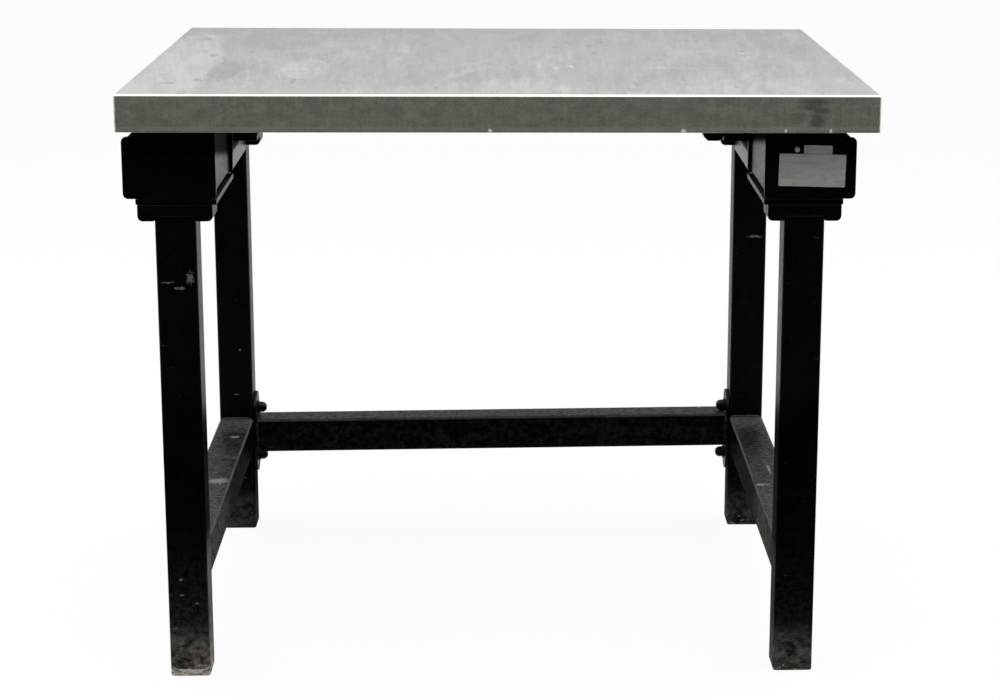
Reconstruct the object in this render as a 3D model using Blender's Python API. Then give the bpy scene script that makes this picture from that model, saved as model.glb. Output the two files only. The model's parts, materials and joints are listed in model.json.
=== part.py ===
"""Vibration isolation table: a stainless-clad top on four pneumatic isolators.

The welded frame of square tube carries one air isolator on each leg.  Each isolator has a base,
a housing, a diaphragm under a clamp ring, a piston with a well, and a load support that stands in
the well and bears on the top.  Three height valves follow the top with a pivoting arm.
Metres, +Z up, front towards -Y, origin on the floor under the middle of the top.
"""

import math

import bmesh
import bpy
from mathutils import Matrix, Vector

# General fits
GAP = 0.0003                    # between faces that touch on the real table
RUNNING = 0.0001                # radial play of the valve arm's pin

# Top
TOP_WIDTH = 0.9144
TOP_DEPTH = 0.7620
TOP_THICKNESS = 0.04445
TOP_EDGE_RADIUS = 0.0035        # fold between the work surface and the skirt
TOP_CORNER_RADIUS = 0.0040      # upright corner of the skirt
SKIN_SHEET = 0.0015
BOTTOM_SHEET = 0.0015

# Frame
SIDE_OVERHANG = 0.0476          # top beyond the outer faces of the legs, with the top in the middle
END_OVERHANG = 0.0476           # top beyond the front and rear faces of the legs
FRAME_SHIFT = -0.0104           # the top sits this far off the middle of the frame
LEG_SIZE = 0.0500
LEG_WALL = 0.0032
LEG_LENGTH = 0.5940
TUBE_CORNER = 0.0040            # outside corner radius of every square tube
RAIL_HEIGHT = 0.0285
RAIL_WALL = 0.0030
STRETCHER_HEIGHT = 0.0500
STRETCHER_WALL = 0.0030
STRETCHER_LEVEL = 0.1225        # floor to the underside of the stretchers and the crossbar

# Saddle on each leg
SADDLE_WIDTH = 0.0910
SADDLE_CAP = 0.0137             # material above the end of the leg
SADDLE_SKIRT = 0.0062           # cheeks beside the leg
SADDLE_CORNER = 0.0060

# Crossbar ends
FLANGE_THICKNESS = 0.0045
FLANGE_SHOULDER = 0.0005        # round ends of the flange narrower than the leg, each side
BOLT_SPACING = 0.0740
BOLT_RADIUS = 0.0048
BOLT_HEAD_FLATS = 0.0143
BOLT_HEAD_HEIGHT = 0.0108
BOLT_WASHER_RADIUS = 0.0095
BOLT_WASHER_THICKNESS = 0.0022
BOLT_GRIP = 0.0120              # shank behind the flange, inside the leg

# Levelling feet
FOOT_PAD_RADIUS = 0.0190
FOOT_PAD_THICKNESS = 0.0080
FOOT_STEM_RADIUS = 0.0063
FOOT_STEM_LENGTH = 0.0620
NUT_PLATE_THICKNESS = 0.0095
NUT_PLATE_LEVEL = 0.0200

# Isolator
BASE_THICKNESS = 0.0065
BASE_SETBACK = 0.0145           # base short of the end plates' outer edge
BASE_CORNER = 0.0020
STOP_RADIUS = 0.0180            # boss that the piston rests on with the air off
HOUSING_WIDTH = 0.1125          # over the end plates
HOUSING_DEPTH = 0.1955          # behind the outer end plate
REAR_HOUSING_DEPTH = 0.1386     # the same, for the shorter isolators at the rear
HOUSING_HEIGHT = 0.0767
HOUSING_OVERHANG = 0.0369       # outward from the outer face of the leg
SIDE_STEP = 0.0043              # end plates beyond the sides of the tube between them
HOUSING_WALL = 0.0138
HOUSING_DECK = 0.0095
HOUSING_CORNER = 0.0060         # long edges of the tube
PARTITION = 0.0060              # wall between the spring chamber and the damping chamber
CHAMBER_CORNER = 0.0030
ORIFICE_RADIUS = 0.0020         # air passage through that wall
PLATE_THICKNESS = 0.0048
PLATE_CORNER = 0.0060
PLATE_INSET = 0.0005            # end plates short of the tube's deck and underside
PLATE_LAP = 0.0025              # tube let into the end plates
TAB_SETBACK = 0.0145            # raised part of the outer end plate, short of its outer edge
TAB_RISE = 0.0090               # above the tube's deck
BORE_SHOULDER = 0.0010          # deck inside the chamber's walls
CLAMP_LAND = 0.0085             # width of the clamp ring
CLAMP_THICKNESS = 0.0040
ROLL_WIDTH = 0.0060             # deck bore to piston, bridged by the diaphragm's fold
DIAPHRAGM_SHEET = 0.0018
DIAPHRAGM_ROLL = 0.0022         # height of the rolled-up fold
COLLAR_LEDGE = 0.0030           # collar beyond the piston's crown
COLLAR_DROP = 0.0012            # collar's top below the deck
PISTON_RISE = 0.0040            # crown above the deck
PISTON_HEIGHT = 0.0560
PISTON_RIM = 0.0100             # crown's width round the well
PISTON_FLOOR = 0.0060
LOAD_DISC_SETBACK = 0.0006      # disc inside the clamp ring's edge
LOAD_DISC_THICKNESS = 0.00335
LOAD_ROD_RADIUS = 0.0095
LOAD_HEADROOM = 0.0030          # over the clamp ring, for the heads of its screws

# Height valves
VALVE_WIDTH = 0.0285
VALVE_DEPTH = 0.0440
VALVE_HEIGHT = 0.0440
VALVE_CHAMFER = 0.0060          # lower long edges
VALVE_END_INSET = 0.0010        # behind the inner end of the rear housings
EAR_THICKNESS = 0.0050
EAR_WIDTH = 0.0140
EAR_CREST = 0.0070              # above the pin
PIN_RADIUS = 0.0030
PIN_INSET = 0.0110              # from the valve's front end
PIN_DROP = 0.0180               # below the underside of the top
ARM_WIDTH = 0.0120
ARM_HEIGHT = 0.0080
ARM_REACH = 0.0500              # pin to contact screw
ARM_PLAY = 0.0005               # beside the arm, to each ear
CONTACT_RADIUS = 0.0040

# Air fittings
BARB_HEX_FLATS = 0.0110
BARB_HEX_LENGTH = 0.0050
BARB_RADIUS = 0.0032
BARB_LENGTH = 0.0120
BARB_BORE = 0.0018

# Blank rating plate
RATING_WIDTH = 0.0820
RATING_HEIGHT = 0.0400
RATING_SHEET = 0.0008
RATING_CORNER = 0.0010
RATING_TILT = math.radians(1.3)
RATING_LEVEL = 0.0357           # centre above the foot of the housing
RATING_OFFSET = 0.0020          # outward from the middle of the housing

# Facets
ROUND = 28
SMALL_ROUND = 18                # bolts, pins and fittings
CORNER_STEPS = 3
FOLD_STEPS = 4

# Levels worked out from the stack
DECK_LEVEL = LEG_LENGTH + GAP + SADDLE_CAP            # top of the saddles and the upper rails
BASE_LEVEL = DECK_LEVEL + GAP
HOUSING_LEVEL = BASE_LEVEL + BASE_THICKNESS + GAP
HOUSING_TOP = HOUSING_LEVEL + HOUSING_HEIGHT
DIAPHRAGM_LEVEL = HOUSING_TOP + GAP
CLAMP_LEVEL = DIAPHRAGM_LEVEL + DIAPHRAGM_SHEET + GAP
DISC_LEVEL = CLAMP_LEVEL + CLAMP_THICKNESS + LOAD_HEADROOM
TOP_UNDERSIDE = DISC_LEVEL + LOAD_DISC_THICKNESS + GAP
PISTON_LEVEL = HOUSING_TOP + PISTON_RISE - PISTON_HEIGHT
PIN_LEVEL = TOP_UNDERSIDE - PIN_DROP

# Places in the frame's plan, measured outward from its middle
FRAME_WIDTH = TOP_WIDTH - 2 * SIDE_OVERHANG           # over the legs' outer faces
FRAME_DEPTH = TOP_DEPTH - 2 * END_OVERHANG            # over the front and rear faces of the legs
LEG_X = (FRAME_WIDTH - LEG_SIZE) / 2
LEG_Y = (FRAME_DEPTH - LEG_SIZE) / 2
HOUSING_OUT = FRAME_WIDTH / 2 + HOUSING_OVERHANG
HOUSING_IN = HOUSING_OUT - HOUSING_WIDTH
HOUSING_X = (HOUSING_IN + HOUSING_OUT) / 2
PLATE_FACE = FRAME_DEPTH / 2
HOUSING_FRONT = PLATE_FACE - PLATE_THICKNESS
PISTON_Y = HOUSING_FRONT - HOUSING_WIDTH / 2

# Isolator's widths, from the end plates inward
TUBE_WIDTH = HOUSING_WIDTH - 2 * SIDE_STEP
CHAMBER_WIDTH = TUBE_WIDTH - 2 * HOUSING_WALL
DECK_BORE = CHAMBER_WIDTH / 2 - BORE_SHOULDER
CLAMP_OUTER = DECK_BORE + CLAMP_LAND
LOAD_DISC_RADIUS = CLAMP_OUTER - LOAD_DISC_SETBACK
PISTON_RADIUS = DECK_BORE - ROLL_WIDTH
PISTON_COLLAR = PISTON_RADIUS + COLLAR_LEDGE
PISTON_WELL_RADIUS = PISTON_RADIUS - PISTON_RIM

CORNERS = (("front_left", -1, -1), ("front_right", 1, -1), ("rear_left", -1, 1), ("rear_right", 1, 1))
SIDES = (("left", -1), ("right", 1))

# Finishes: colour, roughness, metallic
BLACK_PAINT = ((0.006, 0.006, 0.007), 0.38, 0.0)
STAINLESS = ((0.52, 0.52, 0.50), 0.34, 1.0)
ZINC = ((0.42, 0.42, 0.43), 0.40, 1.0)
ALUMINIUM = ((0.60, 0.61, 0.62), 0.36, 1.0)
BRASS = ((0.55, 0.40, 0.16), 0.35, 1.0)
RUBBER = ((0.020, 0.020, 0.021), 0.85, 0.0)
BOARD = ((0.32, 0.23, 0.14), 0.80, 0.0)
GALVANISED = ((0.38, 0.39, 0.40), 0.50, 1.0)


def clear_scene():
    """Remove every object that is already in the file."""
    for item in list(bpy.data.objects):
        bpy.data.objects.remove(item, do_unlink=True)


def add_material(name, finish):
    """One Principled material for one piece."""
    colour, roughness, metallic = finish
    material = bpy.data.materials.new(name)
    material.use_nodes = True
    shader = material.node_tree.nodes["Principled BSDF"]
    shader.inputs["Base Color"].default_value = (*colour, 1.0)
    shader.inputs["Roughness"].default_value = roughness
    shader.inputs["Metallic"].default_value = metallic
    return material


def add_empty(name, location, parent=None):
    """A named place that pieces are parented to."""
    empty = bpy.data.objects.new(name, None)
    empty.location = location
    empty.parent = parent
    bpy.context.scene.collection.objects.link(empty)
    return empty


def add_piece(name, solid, finish, location=(0, 0, 0), parent=None, smooth=False):
    """Turn a bmesh into the named object of one piece."""
    bmesh.ops.recalc_face_normals(solid, faces=solid.faces)
    mesh = bpy.data.meshes.new(name)
    solid.to_mesh(mesh)
    solid.free()
    if smooth:
        mesh.shade_smooth()
        mesh.set_sharp_from_angle(angle=math.radians(35))
    mesh.materials.append(add_material(name, finish))
    piece = bpy.data.objects.new(name, mesh)
    piece.location = location
    piece.parent = parent
    bpy.context.scene.collection.objects.link(piece)
    return piece


def rectangle(size_x, size_y, corner, z, centre=(0, 0), steps=CORNER_STEPS):
    """Ring of a rectangle with rounded corners, at one height."""
    ring = []
    for turn, (sx, sy) in enumerate(((1, 1), (-1, 1), (-1, -1), (1, -1))):
        cx = centre[0] + sx * (size_x / 2 - corner)
        cy = centre[1] + sy * (size_y / 2 - corner)
        for step in range(steps + 1):
            angle = math.pi / 2 * (turn + step / steps)
            ring.append(Vector((cx + corner * math.cos(angle), cy + corner * math.sin(angle), z)))
    return ring


def circle(radius, z, centre=(0, 0), points=ROUND):
    """Ring of a circle, at one height."""
    turns = [2 * math.pi * i / points for i in range(points)]
    return [Vector((centre[0] + radius * math.cos(a), centre[1] + radius * math.sin(a), z)) for a in turns]


def hexagon(flats, z, points=SMALL_ROUND):
    """Ring of a hexagon with as many points as a small circle, at one height."""
    ring = []
    sector = math.pi / 3
    for i in range(points):
        angle = 2 * math.pi * i / points
        reach = flats / 2 / math.cos(angle % sector - sector / 2)
        ring.append(Vector((reach * math.cos(angle), reach * math.sin(angle), z)))
    return ring


def loft(rings, hollow=False):
    """Skin rings of equal count; the ends are capped, or joined to each other when hollow."""
    solid = bmesh.new()
    loops = [[solid.verts.new(point) for point in ring] for ring in rings]
    pairs = list(zip(loops, loops[1:]))
    if hollow:
        pairs.append((loops[-1], loops[0]))
    else:
        solid.faces.new(loops[0])
        solid.faces.new(loops[-1])
    for lower, upper in pairs:
        count = len(lower)
        for i in range(count):
            j = (i + 1) % count
            solid.faces.new((lower[i], lower[j], upper[j], upper[i]))
    bmesh.ops.recalc_face_normals(solid, faces=solid.faces)
    return solid


def block(low, high, corner=0.0):
    """Box between two opposite corners, its upright edges rounded when a corner radius is given."""
    low, high = [Vector(map(pick, zip(low, high))) for pick in (min, max)]
    size = high - low
    centre = ((low.x + high.x) / 2, (low.y + high.y) / 2)
    if corner:
        return loft([rectangle(size.x, size.y, corner, z, centre) for z in (low.z, high.z)])
    solid = bmesh.new()
    middle = Matrix.Translation((low + high) / 2)
    bmesh.ops.create_cube(solid, size=1.0, matrix=middle @ Matrix.Diagonal((*size, 1.0)))
    return solid


def drawn_along_y(outline, near, far):
    """Solid between two depths from a closed outline of (x, z) points."""
    return loft([[Vector((x, y, z)) for x, z in outline] for y in (near, far)])


def turned(profile, points=ROUND, centre=(0, 0)):
    """Solid of revolution about Z from (radius, height) points; neither end lies on the axis."""
    return loft([circle(radius, z, centre, points) for radius, z in profile])


def ring_solid(profile, points=ROUND):
    """Ring about Z from a closed outline of (radius, height) points."""
    return loft([circle(radius, z, (0, 0), points) for radius, z in profile], hollow=True)


def square_tube(size_x, size_y, wall, length, corner=TUBE_CORNER):
    """Open tube along Z with rounded corners, from 0 to its length."""
    inner_corner = max(corner - wall, corner / 4)
    outer = [rectangle(size_x, size_y, corner, z) for z in (0, length)]
    inner = [rectangle(size_x - 2 * wall, size_y - 2 * wall, inner_corner, z) for z in (length, 0)]
    return loft(outer + inner, hollow=True)


def moved(solid, offset=(0, 0, 0), rotation=None):
    """Turn a solid about the origin, then shift it."""
    if rotation is not None:
        bmesh.ops.transform(solid, matrix=rotation, verts=solid.verts)
    bmesh.ops.translate(solid, vec=Vector(offset), verts=solid.verts)
    return solid


def merged(solids):
    """Several separate solids in one bmesh."""
    group = bmesh.new()
    for solid in solids:
        part = bpy.data.meshes.new("part")
        solid.to_mesh(part)
        solid.free()
        group.from_mesh(part)
        bpy.data.meshes.remove(part)
    return group


def combined(solid, tool, operation):
    """Boolean of two closed solids, as a new bmesh."""
    holders = []
    for source in (solid, tool):
        bmesh.ops.recalc_face_normals(source, faces=source.faces)
        mesh = bpy.data.meshes.new("boolean")
        source.to_mesh(mesh)
        source.free()
        holder = bpy.data.objects.new("boolean", mesh)
        bpy.context.scene.collection.objects.link(holder)
        holders.append(holder)
    target, cutter = holders
    modifier = target.modifiers.new("boolean", "BOOLEAN")
    modifier.operation = operation
    modifier.object = cutter
    modifier.solver = "EXACT"
    graph = bpy.context.evaluated_depsgraph_get()
    result = bmesh.new()
    result.from_object(target, graph)
    for holder in holders:
        mesh = holder.data
        bpy.data.objects.remove(holder, do_unlink=True)
        bpy.data.meshes.remove(mesh)
    bmesh.ops.remove_doubles(result, verts=result.verts, dist=1e-6)
    return result


ALONG_X = Matrix.Rotation(math.pi / 2, 4, "Y")
ALONG_Y = Matrix.Rotation(-math.pi / 2, 4, "X")


def build_legs(corners):
    """Four square tubes with a nut plate welded in; the rear ones are drilled for the crossbar's bolts."""
    for name, sx, sy in CORNERS:
        leg = square_tube(LEG_SIZE, LEG_SIZE, LEG_WALL, LEG_LENGTH)
        side = LEG_SIZE - LEG_WALL
        plate = loft([rectangle(side, side, TUBE_CORNER, z)
                      for z in (NUT_PLATE_LEVEL, NUT_PLATE_LEVEL + NUT_PLATE_THICKNESS)])
        leg = combined(leg, plate, "UNION")
        bore = FOOT_STEM_RADIUS + GAP
        holes = [turned([(bore, 0), (bore, NUT_PLATE_LEVEL + 2 * NUT_PLATE_THICKNESS)])]
        if sy > 0:
            for level in bolt_levels():
                reach = BOLT_RADIUS + GAP
                drill = turned([(reach, -LEG_SIZE / 4), (reach, LEG_SIZE / 4)], SMALL_ROUND)
                holes.append(moved(drill, (-sx * LEG_SIZE / 2, 0, level), ALONG_X))
        leg = combined(leg, merged(holes), "DIFFERENCE")
        add_piece(f"leg_{name}", leg, BLACK_PAINT, parent=corners[name])


def bolt_levels():
    """Heights of the bolts above and below the crossbar."""
    middle = STRETCHER_LEVEL + STRETCHER_HEIGHT / 2
    return middle - BOLT_SPACING / 2, middle + BOLT_SPACING / 2


def build_saddles(corners):
    """A cap over each leg whose cheeks hang beside the tube."""
    for name, sx, sy in CORNERS:
        half = SADDLE_WIDTH / 2
        notch = LEG_SIZE / 2 + GAP
        low, mid, high = LEG_LENGTH - SADDLE_SKIRT, LEG_LENGTH + GAP, DECK_LEVEL
        outline = [(-half, high), (-half, low + SADDLE_CORNER)]
        for step in range(1, CORNER_STEPS + 1):
            angle = math.pi / 2 * step / CORNER_STEPS
            outline.append((-half + SADDLE_CORNER * (1 - math.cos(angle)),
                            low + SADDLE_CORNER * (1 - math.sin(angle))))
        outline += [(-notch, low), (-notch, mid)]
        outline += [(-x, z) for x, z in reversed(outline)]
        saddle = drawn_along_y(outline, -LEG_SIZE / 2, LEG_SIZE / 2)
        add_piece(f"leg_saddle_{name}", saddle, BLACK_PAINT, parent=corners[name])


def build_side_tubes(frame):
    """Upper rails under the isolators and lower stretchers, front leg to rear leg."""
    length = FRAME_DEPTH - 2 * LEG_SIZE - 2 * GAP
    for side, sx in SIDES:
        rail = moved(square_tube(LEG_SIZE, RAIL_HEIGHT, RAIL_WALL, length), rotation=ALONG_Y)
        add_piece(f"upper_rail_{side}", rail, BLACK_PAINT,
                  (sx * LEG_X, -length / 2, DECK_LEVEL - RAIL_HEIGHT / 2), frame)
        stretcher = moved(square_tube(LEG_SIZE, STRETCHER_HEIGHT, STRETCHER_WALL, length), rotation=ALONG_Y)
        add_piece(f"lower_stretcher_{side}", stretcher, BLACK_PAINT,
                  (sx * LEG_X, -length / 2, STRETCHER_LEVEL + STRETCHER_HEIGHT / 2), frame)


def build_crossbar(frame):
    """Rear crossbar between end flanges that are bolted to the rear legs."""
    middle = STRETCHER_LEVEL + STRETCHER_HEIGHT / 2
    leg_face = FRAME_WIDTH / 2 - LEG_SIZE
    half = leg_face - GAP - FLANGE_THICKNESS - GAP
    bar = moved(square_tube(STRETCHER_HEIGHT, LEG_SIZE, STRETCHER_WALL, 2 * half), rotation=ALONG_X)
    add_piece("rear_crossbar", bar, BLACK_PAINT, (-half, LEG_Y, middle), frame)
    for side, sx in SIDES:
        end = LEG_SIZE / 2 - FLANGE_SHOULDER
        flange = loft([rectangle(BOLT_SPACING + 2 * end, LEG_SIZE, end, z, steps=3 * CORNER_STEPS)
                       for z in (0, FLANGE_THICKNESS)])
        reach = BOLT_RADIUS + GAP
        for place, sz in (("lower", -1), ("upper", 1)):
            offset = sz * BOLT_SPACING / 2
            hole = turned([(reach, -FLANGE_THICKNESS), (reach, 2 * FLANGE_THICKNESS)], SMALL_ROUND, (offset, 0))
            flange = combined(flange, hole, "DIFFERENCE")
            add_piece(f"crossbar_bolt_{side}_{place}", crossbar_bolt(sx), BLACK_PAINT,
                      (sx * half, LEG_Y, middle + offset), frame, smooth=True)
        foot = leg_face - GAP - FLANGE_THICKNESS if sx > 0 else GAP - leg_face
        add_piece(f"crossbar_flange_{side}", moved(flange, rotation=ALONG_X), BLACK_PAINT,
                  (foot, LEG_Y, middle), frame)


def crossbar_bolt(sx):
    """Bolt with its washer, the domed hex head inward and the shank towards the leg."""
    washer = [circle(radius, z, points=SMALL_ROUND) for radius, z in
              ((BOLT_RADIUS, BOLT_GRIP), (BOLT_RADIUS, 0), (BOLT_WASHER_RADIUS, 0),
               (BOLT_WASHER_RADIUS, -BOLT_WASHER_THICKNESS))]
    head = [hexagon(BOLT_HEAD_FLATS * share, -BOLT_WASHER_THICKNESS - BOLT_HEAD_HEIGHT * depth)
            for share, depth in ((1, 0), (1, 0.45), (0.8, 0.8), (0.45, 1))]
    return moved(loft(washer + head), rotation=Matrix.Rotation(sx * math.pi / 2, 4, "Y"))


def build_feet(corners):
    """Levelling screws, drawn up into the legs."""
    for name, sx, sy in CORNERS:
        profile = [(FOOT_PAD_RADIUS, 0), (FOOT_PAD_RADIUS, FOOT_PAD_THICKNESS * 3 / 4),
                   (FOOT_STEM_RADIUS * 3 / 2, FOOT_PAD_THICKNESS), (FOOT_STEM_RADIUS, FOOT_PAD_THICKNESS),
                   (FOOT_STEM_RADIUS, FOOT_PAD_THICKNESS + FOOT_STEM_LENGTH)]
        add_piece(f"levelling_foot_{name}", turned(profile), ZINC, parent=corners[name], smooth=True)


def build_isolators(seats):
    """Base, housing, diaphragm, clamp ring, piston and load support of each isolator."""
    for name, sx, sy in CORNERS:
        seat = seats[name]
        add_piece(f"isolator_base_{name}", isolator_base(sx, sy), BLACK_PAINT, parent=seat)
        add_piece(f"isolator_housing_{name}", isolator_housing(sx, sy), BLACK_PAINT, parent=seat)
        add_piece(f"diaphragm_{name}", diaphragm(), RUBBER, parent=seat, smooth=True)
        ring = ring_solid([(DECK_BORE, CLAMP_LEVEL), (CLAMP_OUTER, CLAMP_LEVEL),
                           (CLAMP_OUTER, CLAMP_LEVEL + CLAMP_THICKNESS),
                           (DECK_BORE, CLAMP_LEVEL + CLAMP_THICKNESS)])
        add_piece(f"clamp_ring_{name}", ring, ALUMINIUM, parent=seat, smooth=True)
        add_piece(f"piston_{name}", piston(), ALUMINIUM, parent=seat, smooth=True)
        add_piece(f"load_support_{name}", load_support(), ZINC, parent=seat, smooth=True)


def housing_end(sy):
    """Distance from the frame's middle to the inner end of a front or rear isolator."""
    return HOUSING_FRONT - (REAR_HOUSING_DEPTH if sy > 0 else HOUSING_DEPTH)


def isolator_base(sx, sy):
    """Plate that closes the air chamber from below, with the stop under the piston."""
    inner = -sx * HOUSING_WIDTH / 2
    outer = sx * (HOUSING_WIDTH / 2 - BASE_SETBACK)
    crest = BASE_LEVEL + BASE_THICKNESS
    plate = block((inner, sy * (PLATE_FACE - PISTON_Y), BASE_LEVEL),
                  (outer, sy * (housing_end(sy) - PISTON_Y), crest), BASE_CORNER)
    stop = turned([(STOP_RADIUS, BASE_LEVEL + BASE_THICKNESS / 2), (STOP_RADIUS, PISTON_LEVEL - GAP)])
    return combined(plate, stop, "UNION")


def end_plate_outline(sx, with_tab):
    """Rounded end plate in X and Z; the outer one has a raised tab from its inner edge outward."""
    half = HOUSING_WIDTH / 2
    low, high = HOUSING_LEVEL + PLATE_INSET, HOUSING_TOP - PLATE_INSET
    centres = ((1, low + PLATE_CORNER), (1, high - PLATE_CORNER), (-1, high - PLATE_CORNER), (-1, low + PLATE_CORNER))
    outline = []
    for turn, (side, level) in enumerate(centres):
        if with_tab and turn == 2:
            crest = HOUSING_TOP + TAB_RISE
            outline += [(half - TAB_SETBACK, high), (half - TAB_SETBACK, crest), (-half, crest)]
            continue
        for step in range(CORNER_STEPS + 1):
            angle = math.pi / 2 * (turn - 1 + step / CORNER_STEPS)
            outline.append((side * (half - PLATE_CORNER) + PLATE_CORNER * math.cos(angle),
                            level + PLATE_CORNER * math.sin(angle)))
    return [(sx * x, z) for x, z in outline]


def isolator_housing(sx, sy):
    """Tube with rounded long edges between two end plates, hollowed from below and bored through its deck."""
    face = PLATE_FACE - PISTON_Y
    end = housing_end(sy) - PISTON_Y
    section = [(point.x, point.y + HOUSING_LEVEL + HOUSING_HEIGHT / 2)
               for point in rectangle(TUBE_WIDTH, HOUSING_HEIGHT, HOUSING_CORNER, 0)]
    shell = drawn_along_y(section, sy * (face - PLATE_THICKNESS + PLATE_LAP), sy * (end + PLATE_LAP))
    for near, with_tab in ((face - PLATE_THICKNESS, True), (end, False)):
        plate = drawn_along_y(end_plate_outline(sx, with_tab), sy * near, sy * (near + PLATE_THICKNESS))
        shell = combined(shell, plate, "UNION")
    for hollow in chambers(sy):
        shell = combined(shell, hollow, "DIFFERENCE")
    bore = turned([(DECK_BORE, HOUSING_TOP - 2 * HOUSING_DECK), (DECK_BORE, HOUSING_TOP + HOUSING_DECK)])
    return combined(shell, bore, "DIFFERENCE")


def chambers(sy):
    """Cutters for the square spring chamber round the piston, the damping chamber and their orifice."""
    near = CHAMBER_WIDTH / 2 + PARTITION
    far = PISTON_Y - housing_end(sy) - HOUSING_WALL
    levels = (HOUSING_LEVEL - HOUSING_WALL, HOUSING_TOP - HOUSING_DECK)
    spring = loft([rectangle(CHAMBER_WIDTH, CHAMBER_WIDTH, CHAMBER_CORNER, z) for z in levels])
    damping = loft([rectangle(CHAMBER_WIDTH, far - near, CHAMBER_CORNER, z, (0, -sy * (near + far) / 2))
                    for z in levels])
    orifice = moved(turned([(ORIFICE_RADIUS, -PARTITION), (ORIFICE_RADIUS, PARTITION)], SMALL_ROUND),
                    (0, -sy * (near - PARTITION / 2), HOUSING_LEVEL + HOUSING_HEIGHT / 2), ALONG_Y)
    return spring, damping, orifice


def diaphragm():
    """Thin ring clamped on the deck, with one rolled fold between the bore and the piston."""
    inner = PISTON_RADIUS + GAP
    low, high = DIAPHRAGM_LEVEL, DIAPHRAGM_LEVEL + DIAPHRAGM_SHEET
    fold = []
    for i in range(FOLD_STEPS + 1):
        share = i / FOLD_STEPS
        fold.append((inner + share * (DECK_BORE - GAP - inner), DIAPHRAGM_ROLL * math.sin(math.pi * share)))
    outline = [(radius, low + rise) for radius, rise in fold] + [(CLAMP_OUTER, low), (CLAMP_OUTER, high)]
    outline += [(radius, high + rise) for radius, rise in reversed(fold)]
    return ring_solid(outline)


def piston():
    """Cup that the air lifts; its collar holds the diaphragm's inner edge."""
    collar = HOUSING_TOP - COLLAR_DROP
    crown = HOUSING_TOP + PISTON_RISE
    return turned([(PISTON_COLLAR, PISTON_LEVEL), (PISTON_COLLAR, collar), (PISTON_RADIUS, collar),
                   (PISTON_RADIUS, crown), (PISTON_WELL_RADIUS, crown),
                   (PISTON_WELL_RADIUS, PISTON_LEVEL + PISTON_FLOOR)])


def load_support():
    """Disc under the top on a rod that stands in the piston's well."""
    tip = PISTON_LEVEL + PISTON_FLOOR + GAP
    nose = LOAD_ROD_RADIUS / 2
    return turned([(nose, tip), (LOAD_ROD_RADIUS, tip + nose), (LOAD_ROD_RADIUS, DISC_LEVEL),
                   (LOAD_DISC_RADIUS, DISC_LEVEL), (LOAD_DISC_RADIUS, DISC_LEVEL + LOAD_DISC_THICKNESS)])


def valve_places():
    """Each height valve's name, and the middle of its foot in the frame's plan."""
    beside = HOUSING_IN - GAP - VALVE_WIDTH / 2
    front = -housing_end(-1) + GAP + VALVE_DEPTH / 2
    yield "rear_right", beside, housing_end(1) + VALVE_END_INSET + VALVE_DEPTH / 2
    yield "front_left", -LEG_X, front
    yield "front_right", LEG_X, front


def build_valves(frame):
    """Valve bodies with a pair of ears, and the arms that feel the underside of the top."""
    for name, x, y in valve_places():
        foot = add_empty(f"valve_place_{name}", (x, y, BASE_LEVEL), frame)
        add_piece(f"height_valve_{name}", valve_body(), ALUMINIUM, parent=foot)
        pin = (0, PIN_INSET - VALVE_DEPTH / 2, PIN_LEVEL - BASE_LEVEL)
        add_piece(f"valve_arm_{name}", valve_arm(), ZINC, pin, foot)
        port = (0, VALVE_DEPTH / 2 + GAP, VALVE_HEIGHT / 2)
        add_piece(f"air_fitting_{name}", moved(hose_barb(), rotation=ALONG_Y), BRASS, port, foot, smooth=True)


def valve_body():
    """Block with two ears that carry the arm's pin."""
    half = VALVE_WIDTH / 2
    outline = [(-half, VALVE_HEIGHT), (-half, VALVE_CHAMFER), (VALVE_CHAMFER - half, 0)]
    outline += [(-x, z) for x, z in reversed(outline)]
    body = drawn_along_y(outline, -VALVE_DEPTH / 2, VALVE_DEPTH / 2)
    pin_y = PIN_INSET - VALVE_DEPTH / 2
    pin_z = PIN_LEVEL - BASE_LEVEL
    inner = ARM_WIDTH / 2 + ARM_PLAY
    for sx in (-1, 1):
        ear = block((sx * inner, pin_y - EAR_WIDTH / 2, VALVE_HEIGHT / 2),
                    (sx * (inner + EAR_THICKNESS), pin_y + EAR_WIDTH / 2, pin_z + EAR_CREST))
        body = combined(body, ear, "UNION")
    reach = PIN_RADIUS + RUNNING
    span = inner + 2 * EAR_THICKNESS
    drill = moved(turned([(reach, -span), (reach, span)], SMALL_ROUND), (0, pin_y, pin_z), ALONG_X)
    return combined(body, drill, "DIFFERENCE")


def valve_arm():
    """Lever with its pin through the ears and an upright contact screw; its origin is the pin."""
    lever = block((-ARM_WIDTH / 2, -ARM_HEIGHT, -ARM_HEIGHT / 2),
                  (ARM_WIDTH / 2, ARM_REACH + ARM_WIDTH / 2, ARM_HEIGHT / 2))
    half = ARM_WIDTH / 2 + ARM_PLAY + EAR_THICKNESS
    pin = moved(turned([(PIN_RADIUS, -half), (PIN_RADIUS, half)], SMALL_ROUND), rotation=ALONG_X)
    contact = turned([(CONTACT_RADIUS, -ARM_HEIGHT), (CONTACT_RADIUS, PIN_DROP - CONTACT_RADIUS),
                      (CONTACT_RADIUS / 2, PIN_DROP - GAP)], SMALL_ROUND, (0, ARM_REACH))
    return combined(combined(lever, pin, "UNION"), contact, "UNION")


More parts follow.
